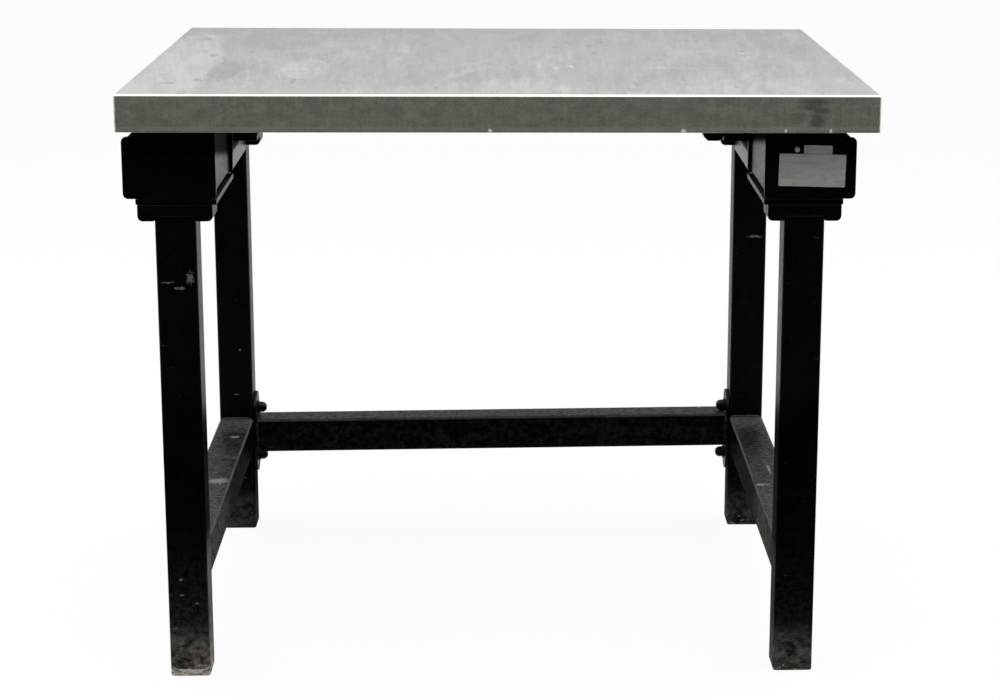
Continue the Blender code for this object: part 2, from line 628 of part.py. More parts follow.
def hose_barb():
    """Hex seat and a bored, ribbed spigot along +Z."""
    tip = BARB_HEX_LENGTH + BARB_LENGTH
    rings = [circle(BARB_BORE, BARB_HEX_LENGTH, points=SMALL_ROUND)]
    rings += [hexagon(BARB_HEX_FLATS, z) for z in (0, BARB_HEX_LENGTH)]
    waist = BARB_RADIUS * 3 / 4
    for i in range(3):
        foot = BARB_HEX_LENGTH + BARB_LENGTH * i / 3
        rings.append(circle(waist, foot, points=SMALL_ROUND))
        rings.append(circle(BARB_RADIUS, foot, points=SMALL_ROUND))
        rings.append(circle(waist, foot + BARB_LENGTH / 3, points=SMALL_ROUND))
    rings.append(circle(BARB_BORE, tip, points=SMALL_ROUND))
    return loft(rings)


def build_rating_plate(frame):
    """Blank metal plate on the front right isolator."""
    plate = loft([rectangle(RATING_WIDTH, RATING_HEIGHT, RATING_CORNER, z) for z in (0, RATING_SHEET)])
    upright = Matrix.Rotation(RATING_TILT, 4, "Y") @ Matrix.Rotation(math.pi / 2, 4, "X")
    middle = HOUSING_X + RATING_OFFSET
    add_piece("rating_plate", moved(plate, rotation=upright), ALUMINIUM,
              (middle, -PLATE_FACE - GAP, HOUSING_LEVEL + RATING_LEVEL), frame)


def build_top():
    """Folded stainless skin, the core inside it and the sheet that closes it below."""
    place = add_empty("top_place", (0, 0, TOP_UNDERSIDE))
    radius = TOP_EDGE_RADIUS
    inside = (TOP_WIDTH - 2 * SKIN_SHEET, TOP_DEPTH - 2 * SKIN_SHEET)
    inner_corner = TOP_CORNER_RADIUS - SKIN_SHEET
    rings = [rectangle(*inside, inner_corner, z) for z in (TOP_THICKNESS - SKIN_SHEET, 0)]
    rings.append(rectangle(TOP_WIDTH, TOP_DEPTH, TOP_CORNER_RADIUS, 0))
    for step in range(FOLD_STEPS + 1):
        angle = math.pi / 2 * step / FOLD_STEPS
        drawn = radius * (1 - math.cos(angle))
        rings.append(rectangle(TOP_WIDTH - 2 * drawn, TOP_DEPTH - 2 * drawn, TOP_CORNER_RADIUS - drawn / 2,
                               TOP_THICKNESS - radius + radius * math.sin(angle)))
    add_piece("top_skin", loft(rings), STAINLESS, parent=place, smooth=True)
    fitted = [size - 2 * GAP for size in inside]
    sheet = loft([rectangle(*fitted, inner_corner, z) for z in (0, BOTTOM_SHEET)])
    add_piece("top_bottom_sheet", sheet, GALVANISED, parent=place)
    core = loft([rectangle(*fitted, inner_corner, z)
                 for z in (BOTTOM_SHEET + GAP, TOP_THICKNESS - SKIN_SHEET - GAP)])
    add_piece("top_core", core, BOARD, parent=place)


def main():
    clear_scene()
    frame = add_empty("frame_middle", (FRAME_SHIFT, 0, 0))
    corners = {"frame": frame}
    seats = {}
    for name, sx, sy in CORNERS:
        corners[name] = add_empty(f"corner_{name}", (sx * LEG_X, sy * LEG_Y, 0), frame)
        seats[name] = add_empty(f"isolator_axis_{name}", (sx * HOUSING_X, sy * PISTON_Y, 0), frame)
    build_legs(corners)
    build_saddles(corners)
    build_side_tubes(frame)
    build_crossbar(frame)
    build_feet(corners)
    build_isolators(seats)
    build_valves(frame)
    build_rating_plate(frame)
    build_top()
    bpy.context.view_layer.update()


main()
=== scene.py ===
"""Dresses the vibration isolation table: finishes, rolled edges, welds, fasteners, stage and camera."""

import json
import math
import random

import bmesh
import bpy
from bpy.props import FloatProperty, FloatVectorProperty, IntProperty, PointerProperty
from mathutils import Matrix, Vector

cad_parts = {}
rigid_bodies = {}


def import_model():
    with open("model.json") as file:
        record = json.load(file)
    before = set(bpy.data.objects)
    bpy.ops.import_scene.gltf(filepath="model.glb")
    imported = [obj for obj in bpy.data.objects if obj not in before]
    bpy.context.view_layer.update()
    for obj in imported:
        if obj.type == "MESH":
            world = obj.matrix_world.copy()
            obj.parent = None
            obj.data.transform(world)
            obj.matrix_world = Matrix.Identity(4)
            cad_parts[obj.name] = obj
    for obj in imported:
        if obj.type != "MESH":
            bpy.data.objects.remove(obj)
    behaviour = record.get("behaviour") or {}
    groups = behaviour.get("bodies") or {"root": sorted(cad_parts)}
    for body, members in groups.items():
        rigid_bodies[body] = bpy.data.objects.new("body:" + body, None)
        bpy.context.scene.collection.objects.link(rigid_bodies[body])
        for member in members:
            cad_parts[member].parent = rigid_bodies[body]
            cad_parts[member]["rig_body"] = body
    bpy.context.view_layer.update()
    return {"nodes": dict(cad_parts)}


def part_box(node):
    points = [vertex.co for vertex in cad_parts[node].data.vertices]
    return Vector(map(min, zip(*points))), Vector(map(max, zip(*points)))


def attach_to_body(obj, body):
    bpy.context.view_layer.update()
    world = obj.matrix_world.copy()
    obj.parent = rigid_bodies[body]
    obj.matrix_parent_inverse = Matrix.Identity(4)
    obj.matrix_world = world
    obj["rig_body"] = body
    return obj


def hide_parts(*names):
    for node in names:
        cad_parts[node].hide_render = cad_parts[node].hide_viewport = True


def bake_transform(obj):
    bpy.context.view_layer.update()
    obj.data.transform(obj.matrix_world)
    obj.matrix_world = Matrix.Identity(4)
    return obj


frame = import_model()

bl_info = {
    "name": "Vibration isolation table",
    "version": (1, 0, 0),
    "blender": (4, 5, 0),
    "location": "3D View > Sidebar > Table",
    "description": "Builds the finished look of a vibration isolation table around its solids",
    "category": "Object",
}

CORNERS = ("front_left", "front_right", "rear_left", "rear_right")
SIDES = ("left", "right")
VALVES = ("rear_right", "front_left", "front_right")
SHARP = math.radians(38)
FLAT = math.radians(1)
WELD_DISTANCE = 1e-5
IN_PLACE = Matrix.Identity(4)
SHADER = "Principled BSDF"
# How far in front of the top's middle a person stands to wipe it
STANDING = 3.2
# A share of the paint's shine is raised to this power, because a grazing reflection fades late
GRAZING = 4.0
ALUMINIUM = (0.60, 0.61, 0.62)
ZINC = (0.42, 0.42, 0.43)
BRASS = (0.55, 0.40, 0.16)


def tint(name, description, default):
    """A colour that a user would change."""
    return FloatVectorProperty(name=name, description=description, subtype="COLOR", default=default)


class StageSettings(bpy.types.PropertyGroup):
    """Floor, lamps and camera."""

    camera_place: FloatVectorProperty(
        name="Camera place", description="Where the camera stands", subtype="TRANSLATION",
        default=(-0.0106, -3.2302, 1.1222))
    camera_pitch: FloatProperty(
        name="Camera pitch", description="How far the camera looks down", subtype="ANGLE", default=0.2358)
    camera_yaw: FloatProperty(
        name="Camera yaw", description="How far the camera turns right", subtype="ANGLE", default=0.04683)
    camera_roll: FloatProperty(
        name="Camera roll", description="How far the camera leans left", subtype="ANGLE", default=0.00754)
    camera_lens: FloatProperty(
        name="Lens", description="Focal length on a 36 mm sensor, in millimetres", default=86.484)
    camera_shift: FloatProperty(
        name="Lens shift", description="How far the picture is cropped to the side, as a share of its width",
        default=-0.10146)
    floor_colour: tint("Floor colour", "Paper of the floor and backdrop", (0.86, 0.86, 0.855))
    sky_light: FloatProperty(
        name="Sky light", description="Level of the soft light from all round", default=0.80)
    front_shade: FloatProperty(
        name="Front shade", description="Level of the dim room in front of the table", default=0.12)
    paper_glow: FloatProperty(
        name="Paper glow", description="Share of the paper that is plain white to the camera",
        subtype="FACTOR", default=0.94)
    key_power: FloatProperty(
        name="Key lamp", description="Power of the large lamp overhead, in watts", default=80.0)
    fill_power: FloatProperty(
        name="Side lamps", description="Power of each lamp at the side, in watts", default=22.0)


class TopSettings(bpy.types.PropertyGroup):
    """Stainless skin of the top."""

    fold_radius: FloatProperty(
        name="Fold radius", description="Fold between the work surface and the skirt", subtype="DISTANCE",
        default=0.0033)
    corner_radius: FloatProperty(
        name="Corner radius", description="Upright corners of the skirt", subtype="DISTANCE", default=0.0040)
    lip_radius: FloatProperty(
        name="Lip radius", description="Rolled lower edge of the skirt", subtype="DISTANCE", default=0.0006)
    lip_drop: FloatProperty(
        name="Lip drop", description="Sag of the skirt's lower edge", subtype="DISTANCE", default=0.0011)
    clean_steel: tint("Clean steel", "Bright satin steel", (0.53, 0.53, 0.505))
    stained_steel: tint("Stained steel", "Steel under old stains", (0.24, 0.238, 0.222))
    skirt_steel: tint("Skirt steel", "Handled, browned steel of the skirt", (0.75, 0.70, 0.61))
    tinted_steel: tint("Tinted steel", "Steel with a faint warm film", (0.41, 0.375, 0.365))
    # Painted highlight: brighter steel for the fold, so it shines brighter than the flat top
    fold_steel: tint("Fold steel", "Steel rubbed bright along the fold", (0.95, 0.95, 0.93))


class PaintSettings(bpy.types.PropertyGroup):
    """Black paint of the frame and the isolators."""

    black: tint("Black", "Paint colour", (0.0013, 0.0013, 0.0013))
    dust: tint("Dust", "Dust on faces that look up", (0.085, 0.083, 0.078))
    # Painted highlight and wear: a lighter colour along rounded edges that face partly up
    edge_wear_and_highlight: tint("Worn edge", "Paint worn thin along the rounded edges", (0.15, 0.147, 0.138))
    rub: tint("Rub", "Brown rubbing low on the legs", (0.040, 0.034, 0.029))
    scuff: tint("Scuff", "Dust and scuffs near the floor", (0.175, 0.156, 0.136))
    scrape: tint("Scrape", "Primer bared by knocks", (0.30, 0.29, 0.27))
    chip: tint("Chip", "Primer and filler under broken paint", (0.50, 0.46, 0.41))
    shine: FloatProperty(
        name="Shine", description="Reflection of the paint seen straight on, where one half is plain gloss",
        subtype="FACTOR", default=0.045)
    edge: FloatProperty(
        name="Edge", description="Rolled edge of painted pieces", subtype="DISTANCE", default=0.0009)
    foot_edge: FloatProperty(
        name="Foot edge", description="Rounded outer edge at the foot of a leg", subtype="DISTANCE",
        default=0.0024)
    bar_slope: FloatProperty(
        name="Bar slope", description="How much the rear crossbar climbs to the right", default=0.0090)
    bar_lift: FloatProperty(
        name="Bar lift", description="How much higher the rear crossbar was welded on", subtype="DISTANCE",
        default=0.0010)
    bead: FloatProperty(
        name="Weld bead", description="Radius of a weld bead", subtype="DISTANCE", default=0.0024)
    ripple: FloatProperty(
        name="Weld ripple", description="Distance between the ripples of a weld", subtype="DISTANCE",
        default=0.0026)


class HardwareSettings(bpy.types.PropertyGroup):
    """Screws, fittings and the blank plate."""

    screw_count: IntProperty(
        name="Clamp screws", description="Screws in each clamp ring", default=6)
    screw_radius: FloatProperty(
        name="Screw head", description="Radius of a clamp screw's head", subtype="DISTANCE", default=0.0030)
    screw_height: FloatProperty(
        name="Screw height", description="Height of a clamp screw's head", subtype="DISTANCE",
        default=0.0022)
    barb_radius: FloatProperty(
        name="Hose barb", description="Radius of a hose fitting's ribs", subtype="DISTANCE", default=0.0032)
    plate_rim: FloatProperty(
        name="Plate rim", description="Raised rim round the blank plate", subtype="DISTANCE",
        default=0.0016)
    tag_size: FloatVectorProperty(
        name="Tag", description="Width and height of the small blank tag", size=2, subtype="TRANSLATION",
        default=(0.0350, 0.0105))


def settings(group):
    """One of the settings groups of the current scene."""
    return getattr(bpy.context.scene, group)


# Node helpers

class Value:
    """Output of a shader node, which takes part in plain sums and products."""

    def __init__(self, tree, socket):
        self.tree = tree
        self.socket = socket

    def __add__(self, other):
        return calculate("ADD", self, other)

    def __sub__(self, other):
        return calculate("SUBTRACT", self, other)

    def __rsub__(self, other):
        return calculate("SUBTRACT", other, self)

    def __mul__(self, other):
        return calculate("MULTIPLY", self, other)

    def __truediv__(self, other):
        return calculate("DIVIDE", self, other)

    def __pow__(self, other):
        return calculate("POWER", self, other)

    def __abs__(self):
        return calculate("ABSOLUTE", self)

    __radd__ = __add__
    __rmul__ = __mul__


def add_node(tree, kind, inputs=None, output=0, **values):
    """One output of a new shader node; inputs take plain values or outputs of other nodes."""
    made = tree.nodes.new(kind)
    for name, value in values.items():
        setattr(made, name, value)
    for name, value in (inputs or {}).items():
        if isinstance(value, Value):
            tree.links.new(value.socket, made.inputs[name])
        else:
            made.inputs[name].default_value = value
    return Value(tree, made.outputs[output])


def calculate(operation, first, second=0.0):
    """Result of one math node."""
    tree = first.tree if isinstance(first, Value) else second.tree
    return add_node(tree, "ShaderNodeMath", {0: first, 1: second}, operation=operation)


def largest(first, second):
    """The larger of two values."""
    return calculate("MAXIMUM", first, second)


def clamped(value, most=1.0):
    """A value kept between zero and the most that it may be."""
    return add_node(value.tree, "ShaderNodeClamp", {"Value": value, "Min": 0.0, "Max": most})


def around_zero(noise, gain):
    """Noise moved to vary about zero."""
    return gain * (noise - 0.5)


def ramp(value, low, high, to_low=0.0, to_high=1.0):
    """Smooth step of a value between two levels."""
    levels = {"Value": value, "From Min": low, "From Max": high, "To Min": to_low, "To Max": to_high}
    return add_node(value.tree, "ShaderNodeMapRange", levels, "Result", interpolation_type="SMOOTHSTEP")


def shaded(colour, share):
    """A colour made darker or lighter."""
    return [share * value for value in colour]


def mix(share, *colours):
    """Mix of two colours."""
    first, second = (c if isinstance(c, Value) else (*c, 1.0) for c in colours)
    return add_node(share.tree, "ShaderNodeMix", {0: share, 6: first, 7: second}, 2, data_type="RGBA")


def mix_values(share, first, second):
    """Mix of two values."""
    return add_node(share.tree, "ShaderNodeMix", {0: share, 2: first, 3: second})


def split(vector):
    """X, Y and Z of a vector."""
    axes = add_node(vector.tree, "ShaderNodeSeparateXYZ", {0: vector}).socket.node.outputs
    return [Value(vector.tree, axis) for axis in axes]


def vector_of(x, y, z=0.0):
    """A vector from three values."""
    return add_node(x.tree, "ShaderNodeCombineXYZ", {"X": x, "Y": y, "Z": z})


def stretched(place, scale, turn=0.0):
    """Texture coordinates scaled along each axis."""
    inputs = {"Vector": place, "Scale": scale, "Rotation": (0, 0, turn)}
    return add_node(place.tree, "ShaderNodeMapping", inputs)


def wiped(place, across, along):
    """Coordinates for wiping streaks, which run front to back and fan out from where a person stands."""
    x, y, z = split(place)
    fan = x / (y + STANDING)
    return vector_of(fan * (STANDING * across), y * along, z * across)


def cloud(place, scale, detail=4.0, rough=0.55, warp=0.0):
    """Noise value at a scale per metre."""
    inputs = {"Vector": place, "Scale": scale, "Detail": detail, "Roughness": rough, "Distortion": warp}
    return add_node(place.tree, "ShaderNodeTexNoise", inputs, "Fac")


def cells(place, scale, output):
    """Cells round scattered points: the distance to the nearest point, or a colour for each cell."""
    return add_node(place.tree, "ShaderNodeTexVoronoi", {"Vector": place, "Scale": scale}, output)


def within(place, spot, turn=0.0):
    """Distance from the middle of an ellipse, one on its outline."""
    x, y, half_x, half_y = spot
    inputs = {"Vector": place, "Location": (x, y, 0), "Rotation": (0, 0, turn),
              "Scale": (half_x, half_y, 1e6)}
    local = add_node(place.tree, "ShaderNodeMapping", inputs, vector_type="TEXTURE")
    return add_node(place.tree, "ShaderNodeVectorMath", {0: local}, "Value", operation="LENGTH")


def spot_mask(place, spots, ragged):
    """One inside any of the given ellipses, with soft, ragged outlines."""
    total = 0.0
    for spot in spots:
        total = largest(total, ramp(within(place, spot) + ragged, 1.2, 0.4))
    return total


def add_bump(height, strength, distance):
    """Normal with a small relief."""
    inputs = {"Height": height, "Strength": strength, "Distance": distance}
    return add_node(height.tree, "ShaderNodeBump", inputs)


def start_material(name, **constants):
    """A new material and the object's coordinates."""
    material = bpy.data.materials.new(name)
    material.use_nodes = True
    tree = material.node_tree
    for socket, value in constants.items():
        tree.nodes[SHADER].inputs[socket.replace("_", " ")].default_value = value
    return material, add_node(tree, "ShaderNodeTexCoord", output="Object")


def attach(material, **sockets):
    """The material, with node results linked to its shader's inputs."""
    tree = material.node_tree
    for name, value in sockets.items():
        tree.links.new(value.socket, tree.nodes[SHADER].inputs[name.replace("_", " ")])
    return material


# Marks and wear, in metres

# Marks that instruments and spills left on the top: middle x, y, half width, half depth, turn, paleness
MARKS = (
    (-0.425, -0.100, 0.058, 0.380, 0.00, 0.46),
    (-0.392, -0.090, 0.023, 0.170, 0.00, 0.20),
    (-0.248, -0.125, 0.029, 0.102, 0.00, 0.38),
    (-0.197, -0.080, 0.026, 0.170, 0.00, 0.12),
    (-0.234, 0.162, 0.015, 0.038, 0.20, 0.24),
    (-0.156, 0.262, 0.008, 0.047, 0.00, 0.34),
    (-0.173, 0.170, 0.009, 0.070, 0.00, 0.30),
    (-0.133, 0.120, 0.009, 0.069, 0.00, 0.28),
    (-0.138, -0.063, 0.009, 0.067, 0.00, 0.22),
    (-0.147, -0.257, 0.008, 0.035, 0.00, 0.24),
    (-0.045, -0.165, 0.009, 0.062, -0.40, 0.24),
    (-0.028, -0.053, 0.008, 0.048, -0.51, 0.24),
    (0.028, -0.290, 0.055, 0.075, 0.00, 0.18),
    (0.250, 0.060, 0.016, 0.035, 0.00, 0.18),
    (0.337, 0.035, 0.020, 0.050, -0.30, 0.16),
    (0.249, -0.112, 0.060, 0.012, 0.00, 0.20),
    (0.400, -0.285, 0.085, 0.075, 0.00, 0.24),
    (0.424, 0.300, 0.007, 0.018, 0.00, 0.34),
    (0.437, 0.272, 0.006, 0.022, 0.00, 0.26),
    (-0.308, 0.205, 0.060, 0.120, 0.00, -0.26),
    (0.400, 0.130, 0.030, 0.190, 0.10, -0.18),
    (-0.350, -0.148, 0.020, 0.115, 0.00, -0.26),
    (-0.100, 0.150, 0.022, 0.150, 0.00, -0.16),
    (-0.214, -0.151, 0.003, 0.116, 0.00, -0.22),
    (-0.262, 0.024, 0.034, 0.026, -0.60, -0.18),
)
# Small spots on the top: x, y, half width, half depth
DARK_SPOTS = (
    (0.1310, 0.055, 0.0045, 0.022), (0.1567, 0.304, 0.0024, 0.020), (0.1460, 0.196, 0.0034, 0.018),
    (0.1254, 0.144, 0.0040, 0.014), (0.0960, 0.195, 0.0026, 0.016), (0.0790, 0.131, 0.0030, 0.014),
    (0.0438, 0.130, 0.0026, 0.014), (0.1730, 0.171, 0.0026, 0.012), (0.1680, -0.278, 0.0034, 0.020),
    (-0.0773, -0.319, 0.0030, 0.016), (0.2256, 0.030, 0.0040, 0.014), (0.2152, -0.023, 0.0034, 0.012),
    (0.2005, 0.000, 0.0030, 0.012), (0.2770, 0.043, 0.0030, 0.014), (0.2306, -0.227, 0.0022, 0.026),
    (0.3365, -0.105, 0.0030, 0.012), (0.3364, 0.086, 0.0036, 0.012), (0.2900, -0.305, 0.0030, 0.014),
    (-0.3360, 0.067, 0.0045, 0.022), (-0.3820, 0.024, 0.0060, 0.020), (-0.3346, -0.184, 0.0026, 0.030),
    (-0.3737, -0.246, 0.0080, 0.020), (-0.4147, 0.223, 0.0120, 0.022), (-0.4055, -0.275, 0.0100, 0.012),
    (-0.2550, -0.254, 0.0035, 0.024),
)
PALE_SPOTS = (
    (0.0930, -0.098, 0.0060, 0.014), (0.0736, -0.114, 0.0040, 0.014), (0.3347, 0.056, 0.0040, 0.010),
)
# Nicks in the lower edge of the front skirt, painted as white glints: x, half width
NICKS = ((-0.0121, 0.0030), (0.2193, 0.0034), (0.3423, 0.0016), (0.3966, 0.0022))
# Smudge on the front skirt: x, depth below the surface, half width, half height
SMUDGE = (
    (0.3780, 0.0085, 0.0190, 0.0055), (0.3720, 0.0150, 0.0160, 0.0035), (0.3850, 0.0190, 0.0130, 0.0045),
    (0.3800, 0.0310, 0.0100, 0.0110),
)
# Knocks on the front faces of the legs: x, height, half width, half height
LEG_KNOCKS = {
    "front_left": ((-0.3786, 0.5178, 0.0042, 0.0080), (-0.4075, 0.5121, 0.0080, 0.0014),
                   (-0.3906, 0.5046, 0.0070, 0.0022), (-0.4041, 0.1292, 0.0022, 0.0018),
                   (-0.4025, 0.1088, 0.0036, 0.0010), (-0.3849, 0.0976, 0.0024, 0.0009),
                   (-0.4116, 0.0643, 0.0034, 0.0014)),
    "front_right": (),
    "rear_left": ((-0.3870, 0.2790, 0.0018, 0.0020), (-0.3949, 0.2102, 0.0034, 0.0014)),
    "rear_right": ((0.3790, 0.4510, 0.0120, 0.0024),),
}
# Scrapes on the upper faces of the stretchers and the crossbar: x, y, half width, half depth
SCRAPES = {
    "lower_stretcher_left": ((-0.3870, -0.0430, 0.0160, 0.0140), (-0.3870, 0.1810, 0.0080, 0.0060)),
    "lower_stretcher_right": ((0.3778, 0.0000, 0.0022, 0.0240), (0.3590, -0.0760, 0.0100, 0.0060)),
    "rear_crossbar": ((0.3066, 0.3244, 0.0030, 0.0060),),
}
# Depth at which the stretchers' upper faces were wiped clean
WIPED_DEPTH = 0.155
# Wear towards the floor by leg: rubbing, chipping
LEG_WEAR = {"front_left": (1.0, 1.0), "front_right": (0.5, 0.3),
            "rear_left": (0.36, 0.25), "rear_right": (0.36, 0.4)}
# Painted shade by leg and by side, made by fading the paint's reflection: heights where it is full and dull,
# share left, share near the floor
LEG_PAINTED_SHEEN = {"front_left": (0.35, 0.24, 0.24, 0.80), "front_right": (0.35, 0.24, 0.26, 0.42),
             "rear_left": (0.215, 0.185, 0.20, 0.0), "rear_right": (0.215, 0.185, 0.30, 0.0)}
# On the housings the painted shade darkens them towards the top, under the table
HOUSING_PAINTED_SHEEN = {"left": (0.6126, 0.6258, 0.26, 0.0), "right": (0.6286, 0.6423, 0.14, 0.0)}


# Finishes

def mark_total(place, ragged):
    """Sum of the marks, pale ones above zero and dark ones below, with ragged outlines."""
    total = 0.0
    for *spot, turn, paleness in MARKS:
        total = total + ramp(within(place, spot, turn) + ragged, 1.12, 0.90, 0.0, paleness)
    return total


def stained_stainless(top):
    """Satin stainless sheet with old marks, streaks, spots, a painted highlight along the fold and a browned
    skirt.
    """
    material, place = start_material("stained_stainless")
    broad = cloud(wiped(place, 8.0, 2.2), 1.0, 5.0, 0.60, 0.4)
    patch = cloud(wiped(place, 40.0, 6.0), 1.0, 5.0, 0.64, 0.4)
    streak = cloud(wiped(place, 170.0, 7.0), 1.0, 4.0, 0.62, 0.2)
    fleck = cloud(wiped(place, 210.0, 34.0), 1.0, 3.0, 0.6, 0.2)
    wipes = cloud(stretched(place, (7.0, 210.0, 1.0)), 1.0, 4.0, 0.6)
    film = cloud(wiped(place, 15.0, 5.0), 1.0, 3.0)
    depth = split(place)[1]
    stain = 0.58 - mark_total(place, around_zero(patch, 0.8))
    for noise, gain in ((broad, 0.8), (patch, 1.35), (streak, 1.05), (fleck, 1.0)):
        stain = stain + around_zero(noise, gain)
    stain = stain + ramp(depth, -0.20, -0.36, 0.0, -0.32) + ramp(depth, 0.02, 0.37, 0.0, 0.36)
    stain = clamped(stain + around_zero(wipes, 1.3) * ramp(depth, -0.24, -0.34), 1.25)
    colour = mix(stain, top.clean_steel, top.stained_steel)
    colour = mix(ramp(film, 0.50, 0.66, 0.0, 0.5), colour, top.tinted_steel)
    rim = around_zero(fleck, 3.2)
    colour = mix(0.42 * spot_mask(place, DARK_SPOTS, rim), colour, (0.07, 0.07, 0.062))
    colour = mix(0.5 * spot_mask(place, PALE_SPOTS, rim), colour, (0.80, 0.80, 0.77))
    upward = split(add_node(place.tree, "ShaderNodeNewGeometry", output="Normal"))[2]
    flat = ramp(upward, 0.90, 0.985)
    # Painted highlight: the fold between top and skirt, picked by its facing, gets brighter, smoother steel
    fold = ramp(upward, 0.20, 0.45) * (1.0 - flat)
    skirt, bare_nick_glint = skirt_colour(place, top)
    colour = mix(fold, mix(flat, skirt, colour), top.fold_steel)
    rough = mix_values(flat, 0.42, ramp(stain, 0.0, 1.0, 0.38, 0.30))
    return attach(material, Base_Color=colour, Roughness=mix_values(fold, rough, 0.20), Metallic=1.0 - bare_nick_glint,
                  Normal=add_bump(0.5 * streak + 0.5 * patch, 0.10, 0.0004))


def skirt_colour(place, top):
    """Browned, brushed steel of the skirt with a smudge, and nicks along its lower edge painted as white
    glints.
    """
    low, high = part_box("top_skin")
    x, y, z = split(place)
    brushed = cloud(stretched(place, (170.0, 170.0, 34.0)), 1.0, 5.0, 0.66, 0.4)
    blotch = cloud(stretched(place, (46.0, 46.0, 90.0)), 1.0, 6.0, 0.70, 0.4)
    grain = cloud(place, 420.0, 3.0, 0.65)
    tone = clamped(0.42 + around_zero(brushed, 1.0) + around_zero(blotch, 2.2) + around_zero(grain, 1.6))
    colour = mix(tone, top.skirt_steel, shaded(top.skirt_steel, 0.58))
    upright = vector_of(x, z)
    front = ramp(y, low.y + 0.02, low.y + 0.01)
    smears = [(across, high.z - drop, half, reach) for across, drop, half, reach in SMUDGE]
    smudge = 0.78 * spot_mask(upright, smears, around_zero(blotch, 2.4)) * front
    colour = mix(smudge, colour, shaded(top.skirt_steel, 0.36))
    band = ramp(abs(z - (low.z + 0.0037)), 0.0034, 0.0006, 0.0, 0.32)
    colour = mix(band, colour, top.fold_steel)
    # Painted highlight: the nicks get white, non-metal colour, so they read as bright glints
    dents = [(across, low.z + 0.0012, half, 0.0030) for across, half in NICKS]
    bare_nick_glint = spot_mask(upright, dents, around_zero(blotch, 0.8)) * front
    return mix(bare_nick_glint, colour, (0.98, 0.98, 0.96)), bare_nick_glint


def black_paint(name, paint, feet=None, knocks=(), scrapes=(), dust_and_light_share=0.42, gloss=0.34, shine=None,
                painted_sheen=None, painted_side_shine=1.0, brown=0.0):
    """Satin black paint: dusty and scraped where it looks up, rubbed and chipped towards the floor."""
    material, place = start_material(name, Specular_IOR_Level=shine or paint.shine)
    x, y, z = split(place)
    _, backward, upward = split(add_node(place.tree, "ShaderNodeNewGeometry", output="Normal"))
    broad = cloud(place, 18.0, 5.0, 0.6)
    fine = cloud(place, 150.0, 6.0, 0.72)
    peel = cloud(place, 700.0, 2.0, 0.5)
    mottle = clamped(0.3 + around_zero(broad, 1.6) + around_zero(fine, 2.6))
    colour = mix(mottle, paint.black, shaded(paint.black, 3.4))
    speckle = 0.4 * ramp(cells(place, 62.0, "Distance"), 0.075, 0.030) * ramp(broad, 0.56, 0.66)
    colour = mix(speckle, colour, (0.10, 0.097, 0.092))
    level = ramp(upward, 0.35, 0.9)
    # Dust on faces that look up; on the rails its full share stands in also for painted side light
    dusty = dust_and_light_share * level * ramp(cloud(place, 38.0, 6.0, 0.72), 0.25, 0.75, 0.20, 1.0)
    if brown:
        wiped_off = ramp(abs(y - WIPED_DEPTH), 0.02, 0.09, 0.40, 1.0)
        dusty = dusty * wiped_off * ramp(fine, 0.36, 0.64, 0.45, 1.30)
        dusty = clamped(dusty + level * ramp(y, 0.19, 0.28) * ramp(fine, 0.30, 0.70, 0.2, 0.9))
        handled = brown * ramp(y, -0.01, -0.17) * ramp(fine, 0.32, 0.64, 0.10, 1.0)
        colour = mix(handled, colour, paint.scuff)
    colour = mix(dusty, colour, paint.dust)
    # Painted highlight and wear: rounded edges that face partly up are made lighter
    edge = ramp(upward, 0.12, 0.45) * ramp(upward, 0.97, 0.80)
    colour = mix(dust_and_light_share * edge * ramp(broad, 0.30, 0.70, 0.4, 1.0), colour, paint.edge_wear_and_highlight)
    rough = ramp(fine, 0.25, 0.75, gloss - 0.05, gloss + 0.10) + 0.22 * dusty
    relief = 0.5 * peel
    ragged = around_zero(cloud(place, 260.0, 4.0, 0.6), 3.0)
    if scrapes:
        scraped = 0.8 * spot_mask(place, scrapes, ragged) * ramp(upward, 0.5, 0.9)
        colour = mix(scraped, colour, paint.scrape)
    if knocks:
        knocked = 0.6 * spot_mask(vector_of(x, z), knocks, ragged) * ramp(backward, -0.3, -0.8)
        colour = mix(knocked, colour, paint.scrape)
    if feet:
        colour, rub, chips = foot_wear(place, colour, fine, paint, *feet)
        rough = rough + 0.30 * rub
        relief = relief - 0.8 * chips
    # Painted shade: the reflection of faces that do not look up is turned down, so the side faces read
    # darker
    if painted_side_shine < 1.0:
        share = ramp(upward, 0.2, 0.8, painted_side_shine, 1.0) * ramp(fine, 0.37, 0.63, 0.60, 1.24)
        attach(material, Specular_IOR_Level=paint.shine * share ** GRAZING)
    # Painted shade: the paint's reflection fades with height, on the housings darker towards the top under
    # the table, on the legs darker below a given height
    if painted_sheen:
        full, dull, least, again = painted_sheen
        share = largest(ramp(z + 0.15 * y, full, dull, 1.0, least), ramp(z, 0.225, 0.135, 0.0, again))
        attach(material, Specular_IOR_Level=paint.shine * share ** GRAZING)
    return attach(material, Base_Color=colour, Roughness=rough, Normal=add_bump(relief, 0.16, 0.0006))


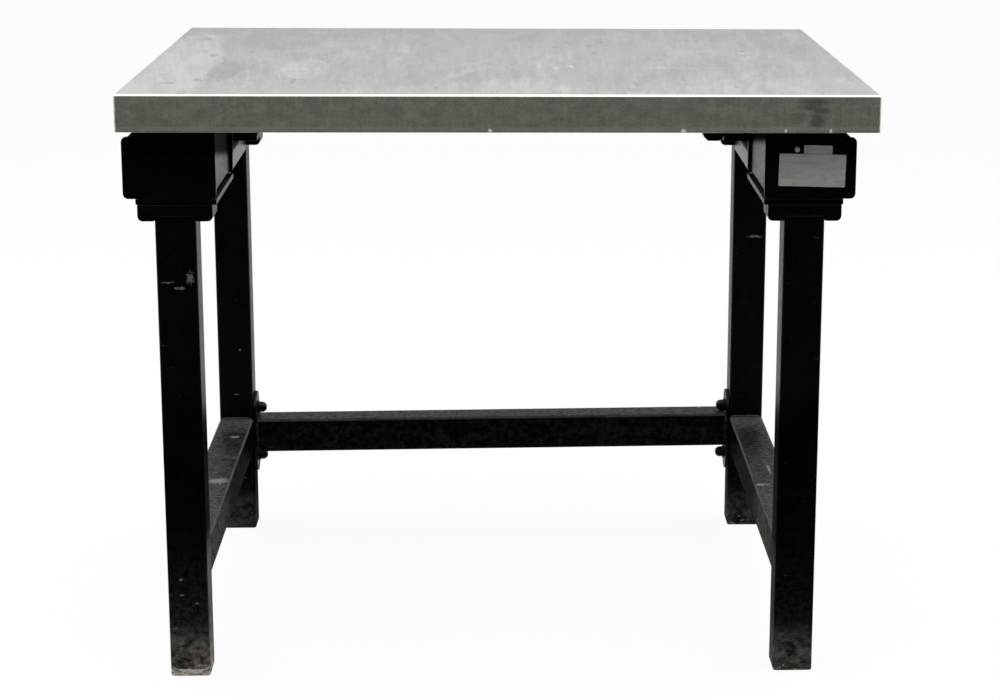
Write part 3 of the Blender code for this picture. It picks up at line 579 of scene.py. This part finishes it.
def foot_wear(place, colour, fine, paint, rubbed, chipped):
    """Brown rubbing low on a leg, streaky dust above the floor and broken paint along the lowest edge."""
    height = split(place)[2]
    rub = 0.66 * rubbed * ramp(fine, 0.38, 0.62, 0.05, 1.0) * ramp(height, 0.26, 0.0) ** 1.7
    colour = mix(rub, colour, paint.rub)
    smear = cloud(stretched(place, (48.0, 48.0, 64.0), 0.4), 1.0, 8.0, 0.78, 0.2)
    dusty = rubbed * ramp(height, 0.078, 0.018) * ramp(smear, 0.37, 0.63)
    colour = mix(dusty, colour, paint.scuff)
    scrape = cloud(stretched(place, (60.0, 60.0, 170.0)), 1.0, 5.0, 0.7, 0.6)
    reach = scrape + ramp(height, 0.026, 0.0, 0.0, 0.29 * chipped)
    chips = ramp(reach, 0.66, 0.76) * ramp(height, 0.12, 0.03, 0.2, 0.9)
    return mix(chips, colour, paint.chip), rub, chips


def machined_metal(name, colour, rings=True):
    """Turned or plated metal with fine tool lines and a little tarnish."""
    material, place = start_material(name, Metallic=1.0)
    tarnish = cloud(place, 70.0, 5.0, 0.6, 0.4)
    lines = cloud(stretched(place, (90.0, 90.0, 2600.0) if rings else (1600.0, 60.0, 60.0)), 1.0, 2.0)
    colour = mix(ramp(tarnish, 0.35, 0.75), colour, shaded(colour, 0.62))
    return attach(material, Base_Color=colour, Roughness=ramp(lines, 0.2, 0.8, 0.28, 0.44),
                  Normal=add_bump(lines, 0.08, 0.0003))


def zinc_sheet():
    """Galvanised closing sheet with crystal spangle."""
    material, place = start_material("galvanised_sheet", Metallic=1.0)
    tone = split(cells(place, 75.0, "Color"))[0]
    stain = cloud(place, 9.0, 5.0, 0.6)
    colour = mix(tone, (0.36, 0.37, 0.38), (0.50, 0.51, 0.52))
    colour = mix(ramp(stain, 0.5, 0.75, 0.0, 0.5), colour, (0.24, 0.23, 0.22))
    return attach(material, Base_Color=colour, Roughness=ramp(tone, 0.0, 1.0, 0.40, 0.58))


def pressed_board():
    """Wood chips pressed into a board."""
    material, place = start_material("pressed_board", Roughness=0.85)
    flakes = cells(stretched(place, (160.0, 160.0, 420.0)), 1.0, "Color")
    colour = mix(split(flakes)[0], (0.24, 0.16, 0.09), (0.44, 0.32, 0.20))
    return attach(material, Base_Color=colour, Normal=add_bump(cloud(place, 300.0), 0.3, 0.0006))


def moulded_rubber():
    """Matt black rubber with a faint bloom."""
    material, place = start_material("moulded_rubber", Specular_IOR_Level=0.3)
    bloom = cloud(place, 55.0, 5.0, 0.6)
    colour = mix(ramp(bloom, 0.4, 0.8), (0.016, 0.016, 0.017), (0.045, 0.045, 0.046))
    return attach(material, Base_Color=colour, Roughness=ramp(bloom, 0.2, 0.8, 0.70, 0.92),
                  Normal=add_bump(cloud(place, 900.0), 0.2, 0.0003))


def plate_metal():
    """Blank printed-metal plate: satin aluminium, yellowed and rubbed."""
    material, place = start_material("blank_plate", Metallic=0.35)
    rub = cloud(stretched(place, (40.0, 40.0, 140.0)), 1.0, 5.0, 0.65, 0.4)
    fog = cloud(place, 60.0, 4.0, 0.6)
    colour = mix(ramp(rub, 0.35, 0.75), (0.86, 0.845, 0.80), (0.64, 0.62, 0.58))
    colour = mix(ramp(fog, 0.55, 0.8, 0.0, 0.6), colour, (0.30, 0.285, 0.26))
    return attach(material, Base_Color=colour, Roughness=ramp(rub, 0.2, 0.8, 0.42, 0.60),
                  Normal=add_bump(rub, 0.08, 0.0003))


def studio_paper(stage):
    """White paper: bright to the camera and in reflections, and it takes the table's shadow."""
    material, place = start_material("studio_paper", Roughness=0.9, Specular_IOR_Level=0.0)
    tree = place.tree
    mottle = cloud(place, 1.5, 3.0, 0.5)
    colour = mix(mottle, stage.floor_colour, shaded(stage.floor_colour, 0.985))
    attach(material, Base_Color=colour)
    seen = 0.0
    for ray in ("Camera", "Glossy", "Transmission"):
        seen = largest(seen, add_node(tree, "ShaderNodeLightPath", output=f"Is {ray} Ray"))
    glow = add_node(tree, "ShaderNodeEmission", {"Color": (1, 1, 1, 1), "Strength": 1.0})
    paper = Value(tree, tree.nodes[SHADER].outputs[0])
    mixed = add_node(tree, "ShaderNodeMixShader", {0: stage.paper_glow * seen, 1: paper, 2: glow})
    tree.links.new(mixed.socket, tree.nodes["Material Output"].inputs["Surface"])
    return material


# Shape helpers

def ride_piece(name, shape, material, body, replaced=(), stretched_to=None):
    """A piece that rides on a body, or stays fixed in place when given a stretched_to, and may stand for CAD
    nodes.
    """
    bmesh.ops.recalc_face_normals(shape, faces=shape.faces)
    mesh = bpy.data.meshes.new(name)
    shape.to_mesh(mesh)
    shape.free()
    mesh.shade_smooth()
    mesh.set_sharp_from_angle(angle=SHARP)
    mesh.materials.append(material)
    piece = bpy.data.objects.new(name, mesh)
    bpy.context.scene.collection.objects.link(piece)
    weighted = piece.modifiers.new("even_shading", "WEIGHTED_NORMAL")
    weighted.keep_sharp = True
    if stretched_to:
        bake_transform(piece)
    else:
        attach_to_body(piece, body)
    if replaced:
        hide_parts(*replaced)


def roll_edges(shape, edges, radius, steps):
    """Round off some edges of a shape."""
    bmesh.ops.bevel(shape, geom=edges, offset=radius, offset_type="OFFSET", segments=steps, profile=0.5,
                    affect="EDGES", clamp_overlap=True)


def outer_foot_edges(shape, node):
    """Lowest edges of a leg, on its outside and not round its bore."""
    low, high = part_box(node)
    middle = (low + high) / 2
    wall = 0.0021
    reach = (high.x - low.x) / 2 - wall
    return [e for e in shape.edges if max(v.co.z for v in e.verts) < low.z + 1e-4
            and all(max(abs(v.co.x - middle.x), abs(v.co.y - middle.y)) > reach for v in e.verts)]


def dress(node, material, edge, slope=0.0, lift=0.0, foot_edge=0.0):
    """Replace a CAD node by a finer copy with rolled edges, which may lean a little along X."""
    shape = bmesh.new()
    shape.from_mesh(frame["nodes"][node].data)
    bmesh.ops.remove_doubles(shape, verts=shape.verts, dist=WELD_DISTANCE)
    bmesh.ops.dissolve_limit(shape, angle_limit=FLAT, verts=shape.verts, edges=shape.edges)
    if foot_edge:
        roll_edges(shape, outer_foot_edges(shape, node), foot_edge, 4)
    if edge:
        sharp = [e for e in shape.edges if len(e.link_faces) == 2 and e.calc_face_angle() > SHARP]
        roll_edges(shape, sharp, edge, 3)
    body = frame["nodes"][node]["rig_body"]
    ride_piece(f"{node}_finish", lean(shape, slope, lift), material, body, [node])


def lean(shape, slope, lift):
    """Raise a shape by a lift and, towards +X, by a slope."""
    for vert in shape.verts:
        vert.co.z += lift + slope * vert.co.x
    return shape


def quarter(steps):
    """Angles from nothing to a right angle."""
    return [math.pi / 2 * i / steps for i in range(steps + 1)]


def rounded_ring(low, high, corner, z, steps):
    """Ring of a rounded rectangle between two plan corners."""
    ring = []
    for turn, (sx, sy) in enumerate(((1, 1), (-1, 1), (-1, -1), (1, -1))):
        x = high.x if sx > 0 else low.x
        y = high.y if sy > 0 else low.y
        middle = Vector((x - sx * corner, y - sy * corner, z))
        for step in range(steps + 1):
            angle = math.pi / 2 * (turn + step / steps)
            ring.append(middle + corner * Vector((math.cos(angle), math.sin(angle), 0)))
    return ring


def ring_at(points, radius, z, hexagon=False):
    """Circle, or hexagon with as many points, about Z."""
    ring = []
    sector = math.pi / 3
    for i in range(points):
        angle = 2 * math.pi * i / points
        reach = radius / math.cos(angle % sector - sector / 2) if hexagon else radius
        ring.append(Vector((reach * math.cos(angle), reach * math.sin(angle), z)))
    return ring


def skin_rings(shape, rings, matrix=IN_PLACE, hollow=False):
    """Faces between rings of equal count, carried to a place, with caps or closed on themselves."""
    loops = [[shape.verts.new(matrix @ point) for point in ring] for ring in rings]
    pairs = list(zip(loops, loops[1:]))
    if hollow:
        pairs.append((loops[-1], loops[0]))
    else:
        shape.faces.new(loops[0])
        shape.faces.new(loops[-1])
    for lower, upper in pairs:
        for i in range(len(lower)):
            j = (i + 1) % len(lower)
            shape.faces.new((lower[i], lower[j], upper[j], upper[i]))


def turn_profile(shape, profile, points, matrix, hollow=False):
    """Turned form from rows of radius, height and, for a hexagon, True."""
    skin_rings(shape, [ring_at(points, *row) for row in profile], matrix, hollow)


def weld_bead(shape, start, end, paint, seed):
    """A rippled bead along a straight seam, with drawn-in ends."""
    draw = random.Random(seed)
    start, end = Vector(start), Vector(end)
    along = end - start
    turn = along.to_track_quat("Z", "Y").to_matrix().to_4x4()
    ripples = along.length / paint.ripple
    count = max(8, round(ripples * 4))
    rings = []
    for i in range(count + 1):
        share = i / count
        taper = min(1.0, 6 * share + 0.35, 6 * (1 - share) + 0.35)
        wave = 0.90 + 0.12 * math.cos(2 * math.pi * share * ripples) + draw.uniform(-0.05, 0.05)
        place = Matrix.Translation(start + along * share) @ turn
        rings.append([place @ point for point in ring_at(10, paint.bead * taper * wave, 0)])
    skin_rings(shape, rings)


def socket_screw(shape, radius, height, matrix):
    """Button of a cap screw with its hexagon socket."""
    key = radius * 0.52
    profile = [(radius, 0), (radius, height * 0.78), (radius * 0.94, height * 0.95), (radius * 0.85, height),
               (key, height, True), (key, height * 0.35, True)]
    turn_profile(shape, profile, 24, matrix)


def hose_barb(shape, radius, matrix):
    """Hexagon seat and three ribs round a bored spigot."""
    ribs, seat, length = 3, 0.005, 0.012
    flats, waist, bore = radius * 1.72, radius * 0.74, radius * 0.55
    profile = [(bore, seat), (flats, 0, True), (flats, seat * 0.9, True), (radius * 1.6, seat, True)]
    for i in range(ribs):
        foot = seat + length * i / ribs
        profile += [(waist, foot), (radius, foot + length * 0.04), (radius, foot + length * 0.08),
                    (waist, foot + length / ribs)]
    profile.append((bore, seat + length))
    turn_profile(shape, profile, 24, matrix)


class TABLE_OT_stage(bpy.types.Operator):
    """Floor, backdrop, lamps, surroundings and camera."""

    bl_idname = "table.stage"
    bl_label = "Stage"

    def execute(self, context):
        stage = settings("table_stage")
        self.add_paper(stage)
        self.add_lamps(stage)
        self.add_surroundings(stage)
        self.add_camera(stage)
        context.scene.view_settings.view_transform = "Standard"
        return {"FINISHED"}

    def add_paper(self, stage):
        """A sheet of paper that runs back from under the table and curves up behind it."""
        half, front, back, bend, top = 8.0, -0.55, 6.6, 1.2, 7.6
        profile = [(front, 0.0), (0.0, 0.0)]
        for angle in quarter(16):
            profile.append((back - bend + bend * math.sin(angle), bend * (1 - math.cos(angle))))
        profile.append((back, top))
        shape = bmesh.new()
        rows = [[shape.verts.new((x, y, z)) for x in (-half, half)] for y, z in profile]
        for first, second in zip(rows, rows[1:]):
            shape.faces.new((first[0], first[1], second[1], second[0]))
        mesh = bpy.data.meshes.new("studio_paper")
        shape.to_mesh(mesh)
        shape.free()
        mesh.shade_smooth()
        mesh.materials.append(studio_paper(stage))
        paper = bpy.data.objects.new("studio_paper", mesh)
        bpy.context.scene.collection.objects.link(paper)

    def add_lamps(self, stage):
        """One broad lamp overhead and one at each side."""
        lean_in = math.radians(72)
        lamps = (("overhead_lamp", (0.0, -0.3, 2.9), 0.0, 5.2, 4.2, stage.key_power),
                 ("left_lamp", (-3.0, 0.4, 1.5), -lean_in, 1.8, 2.0, stage.fill_power),
                 ("right_lamp", (3.0, 0.4, 1.5), lean_in, 1.8, 2.0, stage.fill_power))
        for name, place, turn, width, depth, power in lamps:
            lamp = bpy.data.lights.new(name, "AREA")
            lamp.shape = "RECTANGLE"
            lamp.size = width
            lamp.size_y = depth
            lamp.energy = power
            holder = bpy.data.objects.new(name, lamp)
            holder.location = place
            holder.rotation_euler = (0, turn, 0)
            bpy.context.scene.collection.objects.link(holder)

    def add_surroundings(self, stage):
        """Soft light from above and behind, and a dim room in front."""
        world = bpy.data.worlds.new("studio")
        bpy.context.scene.world = world
        world.use_nodes = True
        tree = world.node_tree
        background = tree.nodes["Background"]
        _, backward, upward = split(add_node(tree, "ShaderNodeTexCoord", output="Generated"))
        lit = largest(ramp(backward, -0.35, 0.25), ramp(upward, 0.25, 0.70))
        level = ramp(lit, 0.0, 1.0, stage.front_shade, stage.sky_light)
        seen = add_node(tree, "ShaderNodeLightPath", output="Is Camera Ray")
        tree.links.new(largest(level, seen).socket, background.inputs["Strength"])
        background.inputs["Color"].default_value = (1.0, 1.0, 1.0, 1.0)

    def add_camera(self, stage):
        """Camera at the photograph's place and angle."""
        lens = bpy.data.cameras.new("camera")
        lens.sensor_fit = "HORIZONTAL"
        lens.sensor_width = 36.0
        lens.lens = stage.camera_lens
        lens.shift_x = stage.camera_shift
        camera = bpy.data.objects.new("camera", lens)
        turn = Matrix.Rotation(-stage.camera_yaw, 4, "Z")
        turn = turn @ Matrix.Rotation(math.pi / 2 - stage.camera_pitch, 4, "X")
        turn = turn @ Matrix.Rotation(stage.camera_roll, 4, "Z")
        camera.matrix_world = Matrix.Translation(stage.camera_place) @ turn
        bpy.context.scene.collection.objects.link(camera)
        bpy.context.scene.camera = camera


class TABLE_OT_top(bpy.types.Operator):
    """Folded stainless skin, with its core and closing sheet."""

    bl_idname = "table.top"
    bl_label = "Top"

    def execute(self, context):
        top = settings("table_top")
        low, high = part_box("top_skin")
        inner_low, inner_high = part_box("top_core")
        sheet = inner_low.x - low.x
        low.z -= top.lip_drop
        lip, fold, steps, least = top.lip_radius, top.fold_radius, 6, 0.0006
        profile = [(sheet, inner_high.z), (sheet, low.z + lip)]
        for angle in quarter(3)[1:]:
            profile.append((sheet - lip * (1 - math.cos(angle)), low.z + lip * (1 - math.sin(angle))))
        for angle in quarter(3):
            profile.append((lip * (1 - math.sin(angle)), low.z + lip * (1 - math.cos(angle))))
        for angle in quarter(steps):
            profile.append((fold * (1 - math.cos(angle)), high.z - fold * (1 - math.sin(angle))))
        rings = []
        for drawn, z in profile:
            inset = Vector((drawn, drawn, 0))
            corner = max(top.corner_radius - drawn, least)
            rings.append(rounded_ring(low + inset, high - inset, corner, z, steps))
        shape = bmesh.new()
        skin_rings(shape, rings)
        ride_piece("top_skin_finish", shape, stained_stainless(top), "top", ["top_skin"])
        dress("top_bottom_sheet", zinc_sheet(), edge=0.0004)
        dress("top_core", pressed_board(), edge=0.0006)
        return {"FINISHED"}


class TABLE_OT_legs(bpy.types.Operator):
    """Legs with wear towards the floor, saddles and levelling feet."""

    bl_idname = "table.legs"
    bl_label = "Legs"

    def execute(self, context):
        paint = settings("table_paint")
        saddle_paint = black_paint("saddle_paint", paint, dust_and_light_share=0.12)
        zinc = machined_metal("plated_steel", ZINC)
        for corner in CORNERS:
            leg_paint = black_paint(f"leg_paint_{corner}", paint, LEG_WEAR[corner], LEG_KNOCKS[corner],
                                    painted_sheen=LEG_PAINTED_SHEEN[corner])
            dress(f"leg_{corner}", leg_paint, paint.edge, foot_edge=paint.foot_edge)
            dress(f"leg_saddle_{corner}", saddle_paint, paint.edge)
            dress(f"levelling_foot_{corner}", zinc, edge=0.0006)
        return {"FINISHED"}


class TABLE_OT_tubes(bpy.types.Operator):
    """Rails, stretchers and the rear crossbar, with their welds and bolts."""

    bl_idname = "table.tubes"
    bl_label = "Tubes and welds"

    weld_inset = 0.003

    def execute(self, context):
        paint = settings("table_paint")
        # Painted light on the rails: full dust stands in also for side light on their upper faces, and a
        # high shine paints a bright reflection on their inner faces
        rail_paint = black_paint("rail_paint", paint, dust_and_light_share=1.0, shine=0.5)
        flange_paint = black_paint("flange_paint", paint)
        bolt_paint = black_paint("bolt_paint", paint, gloss=0.42)
        for side in SIDES:
            rail, stretcher = f"upper_rail_{side}", f"lower_stretcher_{side}"
            stretcher_paint = black_paint(f"{stretcher}_paint", paint, scrapes=SCRAPES[stretcher],
                                          dust_and_light_share=0.75, painted_side_shine=0.28, brown=0.5)
            for tube, material in ((rail, rail_paint), (stretcher, stretcher_paint)):
                dress(tube, material, paint.edge)
                self.weld_along_y(tube, material, paint)
            dress(f"crossbar_flange_{side}", flange_paint, paint.edge)
            for place in ("lower", "upper"):
                dress(f"crossbar_bolt_{side}_{place}", bolt_paint, edge=0.0005)
        bar_paint = black_paint("bar_paint", paint, scrapes=SCRAPES["rear_crossbar"], painted_side_shine=0.92)
        dress("rear_crossbar", bar_paint, paint.edge, slope=paint.bar_slope, lift=paint.bar_lift)
        self.weld_along_x("rear_crossbar", bar_paint, paint)
        return {"FINISHED"}

    def weld_along_y(self, tube, material, paint):
        """Beads above and below both ends of a side tube."""
        low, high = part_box(tube)
        left, right = low.x + self.weld_inset, high.x - self.weld_inset
        shape = bmesh.new()
        for number, (y, z) in enumerate((y, z) for y in (low.y, high.y) for z in (low.z, high.z)):
            weld_bead(shape, (left, y, z), (right, y, z), paint, f"{tube}{number}")
        ride_piece(f"{tube}_welds", shape, material, "frame")

    def weld_along_x(self, tube, material, paint):
        """Beads round both ends of the crossbar."""
        low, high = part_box(tube)
        inset = self.weld_inset
        shape = bmesh.new()
        for number, x in enumerate((low.x, high.x)):
            for place, z in (("under", low.z), ("over", high.z)):
                start, end = (x, low.y + inset, z), (x, high.y - inset, z)
                weld_bead(shape, start, end, paint, f"{place}{number}")
            start, end = (x, low.y, low.z + inset), (x, low.y, high.z - inset)
            weld_bead(shape, start, end, paint, f"front{number}")
        lean(shape, paint.bar_slope, paint.bar_lift)
        ride_piece(f"{tube}_welds", shape, material, "frame")


class TABLE_OT_isolators(bpy.types.Operator):
    """Housings, bases, diaphragms, clamp rings with screws, pistons, load supports and hose fittings."""

    bl_idname = "table.isolators"
    bl_label = "Isolators"

    def execute(self, context):
        paint = settings("table_paint")
        hardware = settings("table_hardware")
        housing_paint = {}
        for side in SIDES:
            housing_paint[side] = black_paint(f"housing_paint_{side}", paint, dust_and_light_share=0.3, gloss=0.30,
                                              painted_sheen=HOUSING_PAINTED_SHEEN[side])
        base_paint = black_paint("base_paint", paint, dust_and_light_share=0.06, gloss=0.30)
        aluminium = machined_metal("turned_aluminium", ALUMINIUM)
        zinc = machined_metal("plated_disc", ZINC)
        brass = machined_metal("turned_brass", BRASS)
        rubber = moulded_rubber()
        for corner in CORNERS:
            dress(f"isolator_base_{corner}", base_paint, edge=0.0008)
            dress(f"isolator_housing_{corner}", housing_paint[corner.split("_")[1]], edge=0.0014)
            self.add_diaphragm(corner, rubber)
            dress(f"clamp_ring_{corner}", aluminium, edge=0.0006)
            dress(f"piston_{corner}", aluminium, edge=0.0006)
            dress(f"load_support_{corner}", zinc, edge=0.0008)
            self.add_screws(corner, hardware, zinc)
            self.add_fitting(corner, hardware, brass)
        return {"FINISHED"}

    def add_diaphragm(self, corner, material):
        """Rubber ring clamped on the deck, with a fold round the piston."""
        node = f"diaphragm_{corner}"
        low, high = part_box(node)
        middle = (low + high) / 2
        outer = (high.x - low.x) / 2
        solid = frame["nodes"][node].data
        bore = min(math.hypot(v.co.x - middle.x, v.co.y - middle.y) for v in solid.vertices)
        inner = bore + 0.0001
        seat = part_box(f"clamp_ring_{corner}")[0].z - 0.0003
        bead = high.z - 0.0014
        room, fold, nip = inner + 0.0033, inner + 0.0053, 0.0003
        profile = [(outer, low.z), (outer, seat), (fold, seat), (fold - nip, seat + 0.0004),
                   (fold - 0.0007, bead), (fold - 0.0011, high.z - nip), (fold - 0.0017, high.z),
                   (inner + nip, high.z), (inner, high.z - nip), (inner, bead + 0.0001), (room, bead),
                   (room + 0.0004, seat + 0.0001), (room + 0.0008, low.z + 0.0004), (room + 0.0012, low.z)]
        shape = bmesh.new()
        turn_profile(shape, profile, 72, Matrix.Translation((middle.x, middle.y, 0)), hollow=True)
        ride_piece(f"{node}_finish", shape, material, "frame", [node],
                   (f"piston_{corner}", (middle.x, middle.y, seat), (middle.x, middle.y, bead)))

    def add_screws(self, corner, hardware, material):
        """Cap screws round the clamp ring."""
        low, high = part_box(f"clamp_ring_{corner}")
        middle = (low + high) / 2
        circle = (high.x - low.x) / 2 - hardware.screw_radius * 1.4
        shape = bmesh.new()
        for i in range(hardware.screw_count):
            angle = 2 * math.pi * (i + 0.5) / hardware.screw_count
            x = middle.x + circle * math.cos(angle)
            y = middle.y + circle * math.sin(angle)
            place = Matrix.Translation((x, y, high.z)) @ Matrix.Rotation(angle, 4, "Z")
            socket_screw(shape, hardware.screw_radius, hardware.screw_height, place)
        ride_piece(f"clamp_screws_{corner}", shape, material, "frame")

    def add_fitting(self, corner, hardware, material):
        """Hose fitting on the housing's inner end."""
        low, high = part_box(f"isolator_housing_{corner}")
        rear = "rear" in corner
        inset, level = 0.0215, 0.034
        x = low.x + inset if "left" in corner else high.x - inset
        y = low.y if rear else high.y
        turn = Matrix.Rotation(math.pi / 2 if rear else -math.pi / 2, 4, "X")
        shape = bmesh.new()
        hose_barb(shape, hardware.barb_radius, Matrix.Translation((x, y, low.z + level)) @ turn)
        ride_piece(f"isolator_fitting_{corner}", shape, material, "frame")


class TABLE_OT_valves(bpy.types.Operator):
    """Height valves with their arms and hose fittings."""

    bl_idname = "table.valves"
    bl_label = "Height valves"

    def execute(self, context):
        paint = settings("table_paint")
        block = black_paint("valve_black", paint, dust_and_light_share=0.3, gloss=0.40)
        arm = machined_metal("plated_arm", ZINC, rings=False)
        brass = machined_metal("valve_brass", BRASS)
        for valve in VALVES:
            dress(f"height_valve_{valve}", block, edge=0.0006)
            dress(f"valve_arm_{valve}", arm, edge=0.0006)
            dress(f"air_fitting_{valve}", brass, edge=0.0)
        return {"FINISHED"}


class TABLE_OT_plate(bpy.types.Operator):
    """Blank plate with a rim and rivets, and the small blank tag above it."""

    bl_idname = "table.plate"
    bl_label = "Blank plate"

    def execute(self, context):
        hardware = settings("table_hardware")
        low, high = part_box("rating_plate")
        sheet = high.y - low.y
        width, height, tilt = 0.0820, 0.0400, math.radians(1.3)
        rivet, rivet_x = 0.0016, width / 2 - 0.0034
        button, button_x = 0.0033, -0.0195
        tag_x, tag_gap, tag_rim = 0.0062, 0.0004, 0.0007
        tag_width, tag_height = hardware.tag_size
        above = height / 2 + tag_height / 2
        turn = Matrix.Translation(((low.x + high.x) / 2, high.y, (low.z + high.z) / 2))
        turn = turn @ Matrix.Rotation(tilt, 4, "Y") @ Matrix.Rotation(math.pi / 2, 4, "X")
        shape = bmesh.new()
        self.add_sheet(shape, width, height, sheet, hardware.plate_rim, turn)
        for x in (-rivet_x, rivet_x):
            self.add_dome(shape, rivet, turn @ Matrix.Translation((x, 0, sheet * 0.7)))
        tag = turn @ Matrix.Translation((tag_x, above + tag_gap, 0))
        self.add_sheet(shape, tag_width, tag_height, sheet * 0.8, tag_rim, tag)
        self.add_dome(shape, button, turn @ Matrix.Translation((button_x, above, 0)))
        ride_piece("rating_plate_finish", shape, plate_metal(), "frame", ["rating_plate"])
        return {"FINISHED"}

    def add_sheet(self, shape, width, height, sheet, rim, matrix):
        """A thin sheet with a raised rim and a flat blank field."""
        profile = ((0, 0), (0, sheet * 0.8), (0.0002, sheet), (rim, sheet), (rim + 0.0003, sheet * 0.72))
        rings = []
        for drawn, z in profile:
            half = Vector((width / 2 - drawn, height / 2 - drawn, 0))
            rings.append(rounded_ring(-half, half, max(0.0011 - drawn, 0.0003), z, 4))
        skin_rings(shape, rings, matrix)

    def add_dome(self, shape, radius, matrix):
        """Head of a rivet."""
        steps = 5
        angles = [math.pi / 2 * i / (steps + 0.5) for i in range(steps + 1)]
        profile = [(radius * math.cos(angle), radius * 0.55 * math.sin(angle)) for angle in angles]
        turn_profile(shape, profile, 20, matrix)


class TABLE_PT_sidebar(bpy.types.Panel):
    """Lists the table's operators."""

    bl_idname = "TABLE_PT_sidebar"
    bl_label = "Vibration isolation table"
    bl_space_type = "VIEW_3D"
    bl_region_type = "UI"
    bl_category = "Table"

    def draw(self, context):
        for operator in PIECES:
            self.layout.operator(operator.bl_idname)


GROUPS = {"table_stage": StageSettings, "table_top": TopSettings, "table_paint": PaintSettings,
          "table_hardware": HardwareSettings}
PIECES = (TABLE_OT_stage, TABLE_OT_top, TABLE_OT_legs, TABLE_OT_tubes, TABLE_OT_isolators, TABLE_OT_valves,
          TABLE_OT_plate)


def register():
    for group in GROUPS.values():
        bpy.utils.register_class(group)
    for name, group in GROUPS.items():
        setattr(bpy.types.Scene, name, PointerProperty(type=group))
    for made in (*PIECES, TABLE_PT_sidebar):
        bpy.utils.register_class(made)


def unregister():
    for made in (TABLE_PT_sidebar, *reversed(PIECES)):
        bpy.utils.unregister_class(made)
    for name in GROUPS:
        delattr(bpy.types.Scene, name)
    for group in reversed(list(GROUPS.values())):
        bpy.utils.unregister_class(group)


def main():
    register()
    bpy.ops.table.stage()
    bpy.ops.table.top()
    bpy.ops.table.legs()
    bpy.ops.table.tubes()
    bpy.ops.table.isolators()
    bpy.ops.table.valves()
    bpy.ops.table.plate()


if __name__ == "__main__":
    main()
